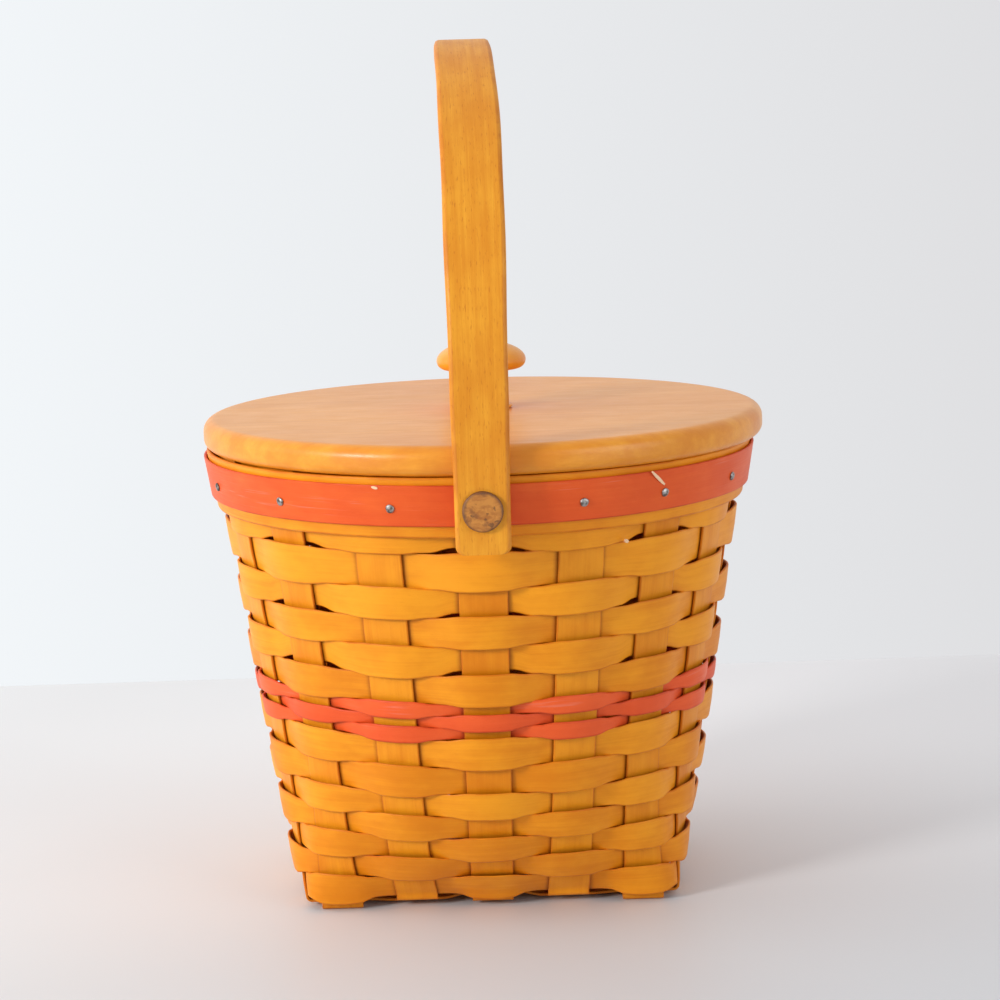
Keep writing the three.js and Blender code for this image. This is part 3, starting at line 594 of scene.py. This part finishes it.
ROWS = []
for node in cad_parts:
    if node.startswith("weaver_"):
        low, high = box_mm(node)
        ROWS.append({"node": node, "low": low[2], "high": high[2], "red": "red" in node})
ROWS.sort(key=lambda row: row["low"])
ROW_MIDDLES = np.array([(row["low"] + row["high"]) / 2 for row in ROWS])
ROW_GAP = 0.3
LAP_LOW = 1.2
LAP_HIGH = 0.7
LAP_RED = 1.15
LAP_SWELL = (0.2, 0.8)  # how near to an upright's middle a row starts to widen, and is widest
LAP_BEHIND = 0.2  # the share of that where the row is behind the upright
FOOT_LAP = 1.1  # the lowest row's lap over the edge of the base
CROWN = 0.2  # how far a strip's middle stands out from its edges
OPEN_FROM_ROW = 10
TUCK_RISE = 2.0
TUCK_RANGE = (0.05, 0.7)
# Where the painted shade on a strip's faces starts and is full, along the weave's wave
SHADED_RANGE = (0.55, 0.84)
SEAM_STRIDE = 3  # pairs of uprights from one row's seam to the next row's
UNDER_BAND_REACH = 1
# Waves in a drift round the basket, and its size
BOW_DRIFT = (14, 0.03)
WIDTH_DRIFT = (12, 0.07)
HEIGHT_DRIFT = (9, 0.16)


def weave_wave(t, row):
    """1 where a row bows out over an upright and -1 where it passes behind one."""
    return np.sin(WEAVE_FLATNESS * np.cos(math.pi * (t - row))) / math.sin(WEAVE_FLATNESS)


def weave(index, row):
    """One row: wider over an upright, where it laps over its neighbours, and squeezed where it dives.
    In the upper wall every second row is pushed up where it dives, which opens a slit under it."""
    middle = ROW_MIDDLES[index]
    behind = 2 * (index * SEAM_STRIDE % (UPRIGHTS // 2)) + (index + 1) % 2
    t, along = even_steps(behind, middle, WEAVER_STEP)
    under_band = row["high"] > BAND_Z - UNDER_BAND_REACH
    bow_out = BOW_OUT_UNDER_BAND if under_band else BOW_OUT
    wave = weave_wave(t, index)
    offset = (bow_out + BOW_IN) / 2 * wave + (bow_out - BOW_IN) / 2 * wave**2
    offset *= 1 + drifting(along, *BOW_DRIFT)

    crossing = np.abs(np.cos(math.pi * (t - index)))
    swell = smooth_step(crossing, *LAP_SWELL) * np.where(wave > 0, 1, LAP_BEHIND)
    lap = LAP_RED if row["red"] else LAP_LOW + (LAP_HIGH - LAP_LOW) * middle / RIM_Z
    width = row["high"] - row["low"]
    across, through, edge = strip_profile(width, STRIP_THICKNESS, EDGE_EASE, 3)
    grow = ROW_GAP / 2 + lap * swell + drifting(along, *WIDTH_DRIFT)
    share = across / (width / 2)
    rise = drifting(along, *HEIGHT_DRIFT)
    if index >= OPEN_FROM_ROW and index % 2 == 1:
        rise += TUCK_RISE * smooth_step(-wave, *TUCK_RANGE)
    z = middle + rise[:, None] + across[None, :] + share[None, :] * grow[:, None]
    if index == 0:
        low_lap = FOOT_LAP * np.maximum(0, wave) ** 2
        z -= low_lap[:, None] * (across[None, :] < 0)
    crown = CROWN * (1 - share**2)
    points, out = wall(t[:, None], z)
    points += out * (offset[:, None] + through[None, :] + crown[None, :])[..., None]
    # Painted shade on the outer face where a strip passes behind an upright and the inner face where it bows
    # over one
    facing = np.sign(through)[None, :] * wave[:, None]
    tuck_shade = smooth_step(-facing, *SHADED_RANGE)
    return strip(row["node"], points, along[:, None], across[None, :], edge[None, :], tuck_shade)


for index, row in enumerate(ROWS):
    made = weave(index, row)
    if row["red"]:
        finish_piece(made, red, "red_wood", row["node"])
    else:
        finish_piece(made, honey, "honey_wood", row["node"])


# Splints: across the base, round its edge and up to the rim

class Way:
    """A way that splints run: which one is under at the middle of the base, how many steps it is to
    the last splint beside it and to the last one across it, and how far apart those across it lie."""

    def __init__(self, starts_under, last_place, last_crossing, step):
        self.starts_under = starts_under
        self.last_place = last_place
        self.last_crossing = last_crossing
        self.step = step

    def crossing_z(self, place, crossing):
        under = self.starts_under == ((place + crossing) % 2 == 0)
        arch = BASE_ARCH * (1 - (place / self.last_place) ** 2 * (crossing / self.last_crossing) ** 2)
        return arch + SPLINT_THICKNESS / 2 + (0 if under else SPLINT_STEP)

    def base_z(self, place, distance):
        """Height of the middle of a splint, at a distance from the middle of the base."""
        here = int(np.clip(math.floor(distance / self.step + 0.5), 0, self.last_crossing))
        share = distance / self.step - here
        edge = SPLINT_EDGE / self.step
        own = self.crossing_z(place, here)
        after = self.crossing_z(place, min(here + 1, self.last_crossing))
        before = self.crossing_z(place, max(here - 1, 0))
        own += (after - own) * float(smooth_step(share, edge, 1 - edge))
        return own + (before - own) * float(smooth_step(-share, edge, 1 - edge))


FRONT_BACK = Way(False, FRONT_END, SIDE_END, LEFT_RIGHT_PITCH)
LEFT_RIGHT = Way(True, SIDE_END, FRONT_END, FRONT_BACK_PITCH)


UPRIGHT_SAMPLES = 400
UPRIGHT_SMOOTHING = 6  # samples on each side


def upright_offset(upright, z):
    """An upright gives way a little where a weaver bows over it."""
    signs = np.array([-1 if (row + upright) % 2 == 0 else 1 for row in range(len(ROWS))])
    sizes = np.array([RED_SWING_SHARE if row["red"] else 1.0 for row in ROWS])
    values = np.concatenate([[0], UPRIGHT_SWING * signs * sizes, [0]])
    heights = np.concatenate([[0], ROW_MIDDLES, [RIM_Z]])
    fine = np.linspace(0, RIM_Z, UPRIGHT_SAMPLES)
    wave = np.interp(fine, heights, values)
    kernel = np.hanning(2 * UPRIGHT_SMOOTHING + 1)
    padded = np.pad(wave, UPRIGHT_SMOOTHING, mode="edge")
    wave = np.convolve(padded, kernel / kernel.sum(), "valid")
    return np.interp(z, fine, wave)


BASE_RINGS = 40
BEND_STEP_DEGREES = 15
RISE_RINGS = 80
GIVE_FADE = 8  # height above the bend over which an upright starts to give way


def splint_arm(way, upright, place, across, through):
    """Rings of points from the middle of the base to the rim, and the length along them."""
    share = across / (SPLINT_WIDTH_BASE / 2)
    outward = radial(side_of(upright) * math.pi / 2)
    sideways = np.array([-outward[1], outward[0], 0])
    up_z = way.crossing_z(place, way.last_crossing) + BEND_RADIUS
    top, _ = wall(upright + EDGE_SHARE * share, up_z)
    corner = top - outward * BEND_RADIUS
    reach = corner @ outward
    rings = []
    for part in np.linspace(0, 1, BASE_RINGS)[:-1]:
        line = outward * (part * reach)[:, None] + sideways * (corner @ sideways)[:, None]
        line[:, 2] = way.base_z(place, part * reach.mean()) - through
        rings.append(line)
    for degrees in range(0, 90, BEND_STEP_DEGREES):
        turn = math.radians(degrees)
        direction = outward * math.sin(turn) - np.array([0, 0, math.cos(turn)])
        rings.append(corner + direction * (BEND_RADIUS + through)[:, None])
    heights = np.linspace(up_z, RIM_Z, RISE_RINGS)
    points, out = wall(upright + EDGE_SHARE * share[None, :], heights[:, None])
    give = upright_offset(upright, heights) * smooth_step(heights, up_z, up_z + GIVE_FADE)
    points += out * (give[:, None] + through[None, :])[..., None]
    rings = np.concatenate([np.array(rings), points])
    return rings, lengths_along(rings.mean(axis=1))


def splint(node, way, near, far, place):
    across, through, edge = strip_profile(SPLINT_WIDTH_BASE, STRIP_THICKNESS, EDGE_EASE, 5)
    near_rings, near_along = splint_arm(way, near, place, across, through)
    far_rings, far_along = splint_arm(way, far, place, -across, through)
    rings = np.concatenate([near_rings[::-1], far_rings[1:]])
    along = np.concatenate([-near_along[::-1], far_along[1:]])
    made = strip(node, rings, along[:, None], across[None, :], edge[None, :])
    finish_piece(made, upright_wood, "honey_wood", node)


for place in range(-FRONT_END, FRONT_END + 1):
    node = f"splint_front_back_{place + FRONT_END + 1}"
    splint(node, FRONT_BACK, place, BACK - place, place)
for place in range(-SIDE_END, SIDE_END + 1):
    node = f"splint_left_right_{place + SIDE_END + 1}"
    splint(node, LEFT_RIGHT, UPRIGHTS // SIDES + place, 3 * UPRIGHTS // SIDES - place, place)


# Rim bands

BAND_STEP = 2.4
BAND_EASE = 0.7
TRIM_EASE = 0.35
BAND_RISE_DRIFT = (7, 0.06)
BAND_OUT_DRIFT = (9, 0.05)


def band(node, inside, thickness, ease, material, slot_name, seam):
    """A flat hoop at the rim. Its inner face lies so far out from the middle of the wall."""
    low, high = box_mm(node)
    middle, width = (low[2] + high[2]) / 2, high[2] - low[2]
    t, along = even_steps(seam, middle, BAND_STEP)
    across, through, edge = strip_profile(width, thickness, ease, 5)
    rise = drifting(along, *BAND_RISE_DRIFT)
    points, out = wall(t[:, None], middle + across[None, :] + rise[:, None])
    distance = inside + thickness / 2 + through[None, :]
    points += out * (distance + drifting(along, *BAND_OUT_DRIFT)[:, None])[..., None]
    points[..., 2] = np.minimum(points[..., 2], RIM_Z)
    made = strip(node, points, along[:, None], across[None, :], edge[None, :])
    finish_piece(made, material, slot_name, node)


INNER_BAND_IN = -OUTER_BAND_IN - BAND_THICKNESS
band("rim_band_outer", OUTER_BAND_IN, BAND_THICKNESS, BAND_EASE, honey, "honey_wood", BACK)
band("rim_band_inner", INNER_BAND_IN, BAND_THICKNESS, BAND_EASE, honey, "honey_wood", FRONT)
band("rim_trim_red", TRIM_IN, TRIM_THICKNESS, TRIM_EASE, trim_red, "red_wood", BACK)

# Tacks, driven home in the trim, their heads a little uneven
TACK_HEAD_RADIUS = 1.75
TACK_HEAD_HEIGHT = 0.9
TACK_HEAD_EASE = 0.1
TACK_HEAD_EDGE = 0.2
TACK_GAP = 0.05
TACK_SHANK_RADIUS = 0.6
TACK_LENGTH = 3.5
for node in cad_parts:
    if node.startswith("tack_"):
        middle = middle_mm(node)
        spot, along, up, normal = wall_frame(place_at(middle[0], middle[1]), TRIM_MIDDLE_Z)
        tack = turned(node, [
            (0, -TACK_LENGTH), (TACK_SHANK_RADIUS, -TACK_LENGTH), (TACK_SHANK_RADIUS, 0),
            (TACK_HEAD_RADIUS - TACK_HEAD_EASE, 0), (TACK_HEAD_RADIUS, 0.12),
            *arc((0, TACK_HEAD_EDGE), [TACK_HEAD_RADIUS, TACK_HEAD_HEIGHT - TACK_HEAD_EDGE], 0, 1, 6)[:-1],
            (0, TACK_HEAD_HEIGHT),
        ], 24, spot + normal * (TRIM_FACE + TACK_GAP), "basket",
            np.array([along, up, normal]), wobble=0.03)
        finish_piece(tack, steel_metal, "steel", node)


# A pale splinter by one tack, a chip at the trim's edge and a nub under the outer band

SLIVER_STEPS = 12
SLIVER_EASE = 0.08
SLIVER_THIN_END = 0.35  # width of a tapered end, as a share of the whole width
SLIVER_TAPER = (0.08, 0.8)  # part of a half wave that the width follows: its start and its length
SLIVER_EDGE_WEAR = 0.2


def sliver(name, start, end, width, thickness, distance, lift):
    """A raised splinter on the wall, from one (degrees from the front, height) to another, tapering
    and lifting towards its start."""
    spots, normals = [], []
    steps = np.linspace(0, 1, SLIVER_STEPS)
    for step in steps:
        angle = math.radians(start[0] + (end[0] - start[0]) * step)
        z = start[1] + (end[1] - start[1]) * step
        spot, _, _, normal = wall_frame(place_at(math.sin(angle), -math.cos(angle)), z)
        spots.append(spot + normal * (distance + lift * (1 - step) ** 2))
        normals.append(normal)
    spots, normals = np.array(spots), np.array(normals)
    heading = np.gradient(spots, axis=0)
    heading /= np.linalg.norm(heading, axis=1, keepdims=True)
    sideways = np.cross(normals, heading)
    outward = np.cross(heading, sideways)
    across, through, edge = strip_profile(width, thickness, SLIVER_EASE, 3)
    swell = np.sin(math.pi * (SLIVER_TAPER[0] + SLIVER_TAPER[1] * steps))
    fullness = SLIVER_THIN_END + (1 - SLIVER_THIN_END) * swell
    rings = spots[:, None, :] + sideways[:, None, :] * (across[None, :] * fullness[:, None])[..., None]
    rings = rings + outward[:, None, :] * through[None, :, None]
    along = steps * float(np.linalg.norm(spots[-1] - spots[0]))
    made = strip(name, rings, along[:, None], across[None, :], edge[None, :] * SLIVER_EDGE_WEAR)
    finish_piece(made, bare_wood, "red_wood")


sliver("trim_splinter", (34.6, 186.0), (38.6, 179.6), 1.3, 0.35, TRIM_FACE + 0.15, 1.1)
sliver("trim_chip", (-21.5, 184.9), (-20.3, 184.3), 1.2, 0.25, TRIM_FACE + 0.02, 0.1)
sliver("band_nub", (30.6, 158.2), (31.7, 157.2), 1.5, 0.6, OUTER_BAND_IN + 0.4, 0.5)


# Pegs that the handle swings on, their spacers outside the trim and their washers inside the rim.
# Each is made for the back and turned half round for the front.

def along_y(sign):
    return np.array([[1.0, 0, 0], [0, 0, -sign], [0, sign, 0]])


def reach_y(node):
    """A piece's nearest and farthest from the middle of the basket, along the pegs."""
    low, high = box_mm(node)
    return sorted((abs(low[1]), abs(high[1])))


PEG_RADIUS = 3.5
PEG_END_EASE = 0.4
PEG_HEAD_GAP = 0.3
PEG_HEAD_RADIUS = 7.85
PEG_HEAD_EASE = 0.2
PEG_HEAD_ROUND = 0.8
PEG_EDGE_FROM = 5.6
HOLE_RADIUS = 3.9
SPACER_RADIUS = 7.5
WASHER_RADIUS = 6.5
RING_EASE = 0.5
RING_OUTER_INSET = 0.15
RING_EDGE_WIDTH = 1.2
PEG_AXIS = (0, 0, PIVOT_Z)
for end, sign in (("back", 1.0), ("front", -1.0)):
    inner_y, outer_y = reach_y(f"handle_peg_{end}")
    seat = box_mm("handle_hoop")[1][1] + PEG_HEAD_GAP
    round_seat = seat + PEG_HEAD_ROUND
    peg = turned(f"handle_peg_{end}", [
        (0, inner_y), (PEG_RADIUS - PEG_END_EASE, inner_y), (PEG_RADIUS, inner_y + PEG_END_EASE),
        (PEG_RADIUS, seat), (PEG_HEAD_RADIUS - PEG_HEAD_EASE, seat),
        (PEG_HEAD_RADIUS, seat + 0.3), (PEG_HEAD_RADIUS, seat + 0.9),
        *arc((PEG_HEAD_RADIUS - PEG_HEAD_ROUND, round_seat), [PEG_HEAD_ROUND, outer_y - round_seat], 0, 1, 5),
        (5.0, outer_y - 0.02), (2.5, outer_y - 0.1), (0, outer_y - 0.12),
    ], 48, PEG_AXIS, "basket", along_y(sign), edge_from=PEG_EDGE_FROM, wobble=0.006)
    finish_piece(peg, peg_wood, "peg_wood", f"handle_peg_{end}")
    for kind, radius in (("handle_spacer", SPACER_RADIUS), ("peg_washer", WASHER_RADIUS)):
        node = f"{kind}_{end}"
        near_y, far_y = reach_y(node)
        outer_face = far_y - RING_OUTER_INSET
        ring = turned(node, [
            (0, near_y + 0.6), (HOLE_RADIUS, near_y + 0.6), (HOLE_RADIUS, near_y + 0.5),
            (radius - RING_EASE, near_y + 0.5), (radius, near_y + 0.9), (radius, far_y - 0.6),
            (radius - RING_EASE, outer_face), (HOLE_RADIUS + 0.3, outer_face), (0, outer_face),
        ], 40, PEG_AXIS, "basket", along_y(sign), edge_from=radius - RING_EDGE_WIDTH, wobble=0.008)
        finish_piece(ring, pale_wood, "peg_wood", node)


# Lid, its disc and its knob

def node_axis(node):
    low, high = box_mm(node)
    middle = (low + high) / 2
    return np.array([middle[0], middle[1], 0]), low[2], high[2], (high[0] - low[0]) / 2


LID_TOP_ROUND = 5.0
LID_BOTTOM_ROUND = 4.0
LID_EDGE_WIDTH = 6
LID_MIDDLE_RING = 60  # a ring of points that keeps the flat faces even
axis, lid_low, lid_high, lid_radius = node_axis("lid_board")
board = turned("lid_board", [
    (0, lid_low), (LID_MIDDLE_RING, lid_low), (lid_radius - LID_BOTTOM_ROUND - 1, lid_low),
    *arc((lid_radius - LID_BOTTOM_ROUND, lid_low + LID_BOTTOM_ROUND), [LID_BOTTOM_ROUND] * 2, -1, 0, 8),
    *arc((lid_radius - LID_TOP_ROUND, lid_high - LID_TOP_ROUND), [LID_TOP_ROUND] * 2, 0, 1, 10),
    (lid_radius - LID_TOP_ROUND - 1, lid_high), (LID_MIDDLE_RING, lid_high), (0, lid_high),
], 160, axis, "lid", edge_from=lid_radius - LID_EDGE_WIDTH)
finish_piece(board, lid_wood, "lid_wood", "lid_board")

DISC_ROUND = 1.2
DISC_EDGE_WIDTH = 3
DISC_MIDDLE_RING = 50
axis, disc_low, disc_high, disc_radius = node_axis("lid_locating_disc")
disc = turned("lid_locating_disc", [
    (0, disc_low), (DISC_MIDDLE_RING, disc_low), (disc_radius - 1.6, disc_low),
    *arc((disc_radius - DISC_ROUND, disc_low + DISC_ROUND), [DISC_ROUND] * 2, -1, 0, 5),
    (disc_radius, disc_high), (DISC_MIDDLE_RING, disc_high), (0, disc_high),
], 120, axis, "lid", edge_from=disc_radius - DISC_EDGE_WIDTH)
finish_piece(disc, lid_wood, "lid_wood", "lid_locating_disc")

KNOB_WIDEST = 20.0  # height of its widest part
KNOB_EDGE_ROUND = 3.6
KNOB_FOOT_RADIUS = 12.5
KNOB_FOOT_HEIGHT = 1.4
KNOB_FOOT_EASE = 0.4
KNOB_WAIST_RADIUS = 8.5
KNOB_EDGE_WIDTH = 2.5
axis, knob_low, knob_high, knob_radius = node_axis("lid_knob")
knob_height = knob_high - knob_low
underside = KNOB_WIDEST - KNOB_EDGE_ROUND
waist = (KNOB_FOOT_RADIUS - KNOB_WAIST_RADIUS, (underside - KNOB_FOOT_HEIGHT) / 2)
knob = turned("lid_knob", [
    (0, 0), (KNOB_FOOT_RADIUS - KNOB_FOOT_EASE, 0), (KNOB_FOOT_RADIUS, KNOB_FOOT_EASE),
    (KNOB_FOOT_RADIUS, KNOB_FOOT_HEIGHT),
    *arc((KNOB_FOOT_RADIUS, KNOB_FOOT_HEIGHT + waist[1]), waist, -1, -3, 16),
    *arc((knob_radius - KNOB_EDGE_ROUND, KNOB_WIDEST), [KNOB_EDGE_ROUND] * 2, -1, 0, 8),
    *arc((0, KNOB_WIDEST), [knob_radius, knob_height - KNOB_WIDEST], 0, 1, 16)[1:-1],
    (0, knob_height),
], 72, axis + np.array([0, 0, knob_low]), "lid", edge_from=knob_radius - KNOB_EDGE_WIDTH)
finish_piece(knob, lid_wood, "lid_wood", "lid_knob")

SCREW_RADIUS = 2.0
SCREW_HEAD_HEIGHT = 2.4
SCREW_POINT = 3.0
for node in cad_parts:
    if "screw" in node:
        axis, low_z, high_z, head_radius = node_axis(node)
        neck_z = low_z + SCREW_HEAD_HEIGHT
        screw = turned(node, [
            (0, low_z), *arc((0, neck_z), [head_radius, SCREW_HEAD_HEIGHT], -1, 0, 8)[1:],
            (SCREW_RADIUS, neck_z), (SCREW_RADIUS, high_z - SCREW_POINT), (0, high_z),
        ], 28, axis, "lid")
        finish_piece(screw, steel_metal, "steel", node)


# Handle

HANDLE_THICKNESS = 5.6
HANDLE_WIDTH = 22.2
HANDLE_END_WIDTH = 21.2
HANDLE_EDGE_ROUND = 1.6
HANDLE_LEG_RISE = 52.8
HANDLE_END_ROUND = 3.0
HANDLE_SHOULDER_SWELL = 1.6
HANDLE_LEAN = 2.6
HANDLE_LEAN_POWER = 6
HANDLE_EDGE_WEAR = 0.8
HANDLE_WIDTH_DRIFT = (9, 0.08)
CORNER_STEPS = 9
LEG_STEPS = 22
ARCH_STEPS = 121
ARCH_Z = PIVOT_Z + HANDLE_LEG_RISE
LEG_END_Z = box_mm("handle_hoop")[0][2]
HANDLE_OUT = box_mm("handle_hoop")[1][1]


def handle_line():
    """Middles of the strip's sections from foot to foot, their outward directions and widths."""
    middle = HANDLE_OUT - HANDLE_THICKNESS / 2
    corner = LEG_END_Z + HANDLE_END_ROUND * (1 - np.cos(np.linspace(0, math.pi / 2, CORNER_STEPS)))
    leg = np.linspace(LEG_END_Z + HANDLE_END_ROUND, ARCH_Z, LEG_STEPS)
    heights = np.concatenate([corner, leg[1:-1]])
    taper = np.minimum(1, (heights - LEG_END_Z) / HANDLE_LEG_RISE)
    leg_width = HANDLE_END_WIDTH + (HANDLE_WIDTH - HANDLE_END_WIDTH) * taper
    rounding = np.maximum(0, HANDLE_END_ROUND - (heights - LEG_END_Z))
    leg_width -= 2 * (HANDLE_END_ROUND - np.sqrt(HANDLE_END_ROUND**2 - rounding**2))
    angles = np.linspace(0, math.pi, ARCH_STEPS)
    outs = np.stack([np.zeros_like(angles), -np.cos(angles), np.sin(angles)], -1)
    arch = outs * middle + np.array([0, 0, ARCH_Z])
    arch_width = HANDLE_WIDTH + HANDLE_SHOULDER_SWELL * np.abs(np.sin(2 * angles))
    near = np.stack([np.zeros_like(heights), np.full_like(heights, -middle), heights], -1)
    far = near[::-1] * np.array([1, -1, 1])
    near_out = np.tile([0.0, -1.0, 0.0], (len(heights), 1))
    centres = np.concatenate([near, arch, far])
    widths = np.concatenate([leg_width, arch_width, leg_width[::-1]])
    return centres, np.concatenate([near_out, outs, -near_out]), widths


# The section is drawn at one width and then stretched to the width at each place, edges left as they are
SECTION_HALF = 10
SECTION_FLAT = SECTION_HALF - HANDLE_EDGE_ROUND
centres, outs, widths = handle_line()
along = lengths_along(centres)
across, through, edge = strip_profile(2 * SECTION_HALF, HANDLE_THICKNESS, HANDLE_EDGE_ROUND, 5)
sides = np.sign(across) * (SECTION_HALF - np.abs(across))
half = widths / 2 + drifting(along, *HANDLE_WIDTH_DRIFT)
spread_across = np.where(
    np.abs(across)[None, :] >= SECTION_FLAT,
    np.sign(across)[None, :] * half[:, None] - sides[None, :],
    across[None, :] / SECTION_FLAT * (half[:, None] - HANDLE_EDGE_ROUND),
)
rings = centres[:, None, :] + outs[:, None, :] * through[None, :, None]
rings[..., 0] += spread_across
lean = -HANDLE_LEAN * np.maximum(0, (centres[:, 2] - ARCH_Z) / HANDLE_OUT) ** HANDLE_LEAN_POWER
rings[..., 0] += lean[:, None]
handle = strip("handle_hoop", rings, along[:, None], spread_across, edge[None, :] * HANDLE_EDGE_WEAR,
               body="handle")
finish_piece(handle, handle_wood, "handle_wood", "handle_hoop")


# Floor, light and camera

FLOOR_BACK = 387.0
FLOOR_REACH = 1200.0
# Where the floor's painted light falloff, darker towards the front and at the front towards the right,
# starts and ends, in metres from the middle
SIDE_FADE = (-0.25, 0.25)
DEPTH_FADE = (-0.28, 0.3)
floor_mesh = bpy.data.meshes.new("floor")
corners = [(-FLOOR_REACH, -FLOOR_REACH, 0), (FLOOR_REACH, -FLOOR_REACH, 0),
           (FLOOR_REACH, FLOOR_BACK, 0), (-FLOOR_REACH, FLOOR_BACK, 0)]
floor_mesh.from_pydata([tuple(c * MM for c in corner) for corner in corners], [], [(0, 1, 2, 3)])
floor = bpy.data.objects.new("floor", floor_mesh)
bpy.context.scene.collection.objects.link(floor)
n = Nodes("floor")
place = n.add("ShaderNodeTexCoord").outputs["Object"]
cloud = n.noise(n.stretched(place, (3, 3, 3)), detail=2.0)
floor_x, floor_y, _ = n.parts(place)
# Painted light falloff: the floor is darker at the front, and there a little darker on the right
near = n.mix(n.spread(floor_x, *SIDE_FADE), srgb(211, 212, 213), srgb(202, 206, 210))
far = n.mix(n.spread(floor_x, *SIDE_FADE), srgb(236, 237, 238), srgb(236, 236, 238))
painted_falloff = n.mix(n.spread(floor_y, *DEPTH_FADE), near, far)
clouded = n.mix(n.spread(cloud, 0.3, 0.7), painted_falloff, darker(srgb(255, 254, 254), 0.97), blend="MULTIPLY")
n.link(clouded, n.shader.inputs["Base Color"])
n.shader.inputs["Roughness"].default_value = 0.5
floor_mesh.materials.append(n.material)


def room(seen, light):
    """A pale backdrop, brighter on the left, and soft light that comes more from the left and the
    back than from the front. Each is a reach, a direction, and its colours against it and along it.
    Camera, glossy and transmission rays see the backdrop, the others the light."""
    world = bpy.data.worlds.new("room")
    bpy.context.scene.world = world
    world.use_nodes = True
    tree = world.node_tree
    tree.nodes.clear()
    output = tree.nodes.new("ShaderNodeOutputWorld")
    direction = tree.nodes.new("ShaderNodeTexCoord").outputs["Generated"]
    shaders = []
    for reach, heading, against, onward in (seen, light):
        facing = tree.nodes.new("ShaderNodeVectorMath")
        facing.operation = "DOT_PRODUCT"
        tree.links.new(direction, facing.inputs[0])
        facing.inputs[1].default_value = Vector(heading).normalized()
        ramp = tree.nodes.new("ShaderNodeMapRange")
        ramp.inputs["From Min"].default_value = -reach
        ramp.inputs["From Max"].default_value = reach
        tree.links.new(facing.outputs["Value"], ramp.inputs["Value"])
        mixer = tree.nodes.new("ShaderNodeMix")
        mixer.data_type = "RGBA"
        tree.links.new(ramp.outputs["Result"], mixer.inputs[0])
        for socket, colour in zip(colour_sockets(mixer.inputs), (against, onward)):
            socket.default_value = (*colour, 1)
        shader = tree.nodes.new("ShaderNodeBackground")
        shader.inputs["Strength"].default_value = 1.0
        tree.links.new(colour_sockets(mixer.outputs)[0], shader.inputs["Color"])
        shaders.append(shader)
    paths = tree.nodes.new("ShaderNodeLightPath")
    sees_backdrop = paths.outputs["Is Camera Ray"]
    for ray in ("Is Glossy Ray", "Is Transmission Ray"):
        either = tree.nodes.new("ShaderNodeMath")
        either.operation = "MAXIMUM"
        tree.links.new(sees_backdrop, either.inputs[0])
        tree.links.new(paths.outputs[ray], either.inputs[1])
        sees_backdrop = either.outputs[0]
    chosen = tree.nodes.new("ShaderNodeMixShader")
    backdrop, soft_light = shaders
    tree.links.new(sees_backdrop, chosen.inputs[0])
    tree.links.new(soft_light.outputs[0], chosen.inputs[1])
    tree.links.new(backdrop.outputs[0], chosen.inputs[2])
    tree.links.new(chosen.outputs[0], output.inputs[0])


room(
    (0.2, (1, 0, 0), srgb(244, 248, 251), srgb(223, 223, 225)),
    (0.75, (-0.5, 0.8, 0.25), srgb(132, 132, 136), srgb(255, 255, 255)),
)

LAMP_TARGET = (0, 0, 150)


def area_light(name, place, size, power, colour, mirrored=True):
    """A square lamp turned to the basket. One that isn't mirrored is left out of reflections."""
    data = bpy.data.lights.new(name, "AREA")
    data.shape = "SQUARE"
    data.size = size * MM
    data.energy = power
    data.color = colour
    lamp = bpy.data.objects.new(name, data)
    bpy.context.scene.collection.objects.link(lamp)
    lamp.location = Vector(place) * MM
    lamp.rotation_mode = "QUATERNION"
    direction = (Vector(LAMP_TARGET) - Vector(place)) * MM
    lamp.rotation_quaternion = direction.to_track_quat("-Z", "Y")
    lamp.visible_glossy = mirrored


area_light("key", (-1330, -1060, 720), 380, 18, (1, 0.985, 0.965))
area_light("window", (-1500, 0, 600), 900, 7, (0.98, 0.99, 1), mirrored=False)
area_light("fill", (1300, -1000, 600), 1100, 9, (1, 1, 1))

CAMERA_PLACE = (-6.25, -1156.15, 344.92)
CAMERA_PITCH = -0.1585
CAMERA_PAN = -0.0125
CAMERA_ROLL = 0.0289
CAMERA_LENS = 99.84
camera = bpy.data.objects.new("camera", bpy.data.cameras.new("camera"))
bpy.context.scene.collection.objects.link(camera)
bpy.context.scene.camera = camera
camera.data.lens = CAMERA_LENS
camera.data.sensor_width = 36
camera.data.clip_start = 0.01
camera.data.clip_end = 30
right = Vector((math.cos(CAMERA_PAN), math.sin(CAMERA_PAN), 0))
forward = Vector((-math.sin(CAMERA_PAN), math.cos(CAMERA_PAN), 0))
up = Vector((0, 0, 1))
look = forward * math.cos(CAMERA_PITCH) + up * math.sin(CAMERA_PITCH)
above = up * math.cos(CAMERA_PITCH) - forward * math.sin(CAMERA_PITCH)
camera_x = right * math.cos(CAMERA_ROLL) - above * math.sin(CAMERA_ROLL)
camera_y = right * math.sin(CAMERA_ROLL) + above * math.cos(CAMERA_ROLL)
turn = Matrix((camera_x, camera_y, -look)).transposed().to_4x4()
camera.matrix_world = Matrix.Translation(Vector(CAMERA_PLACE) * MM) @ turn

bpy.context.scene.view_settings.view_transform = "Standard"
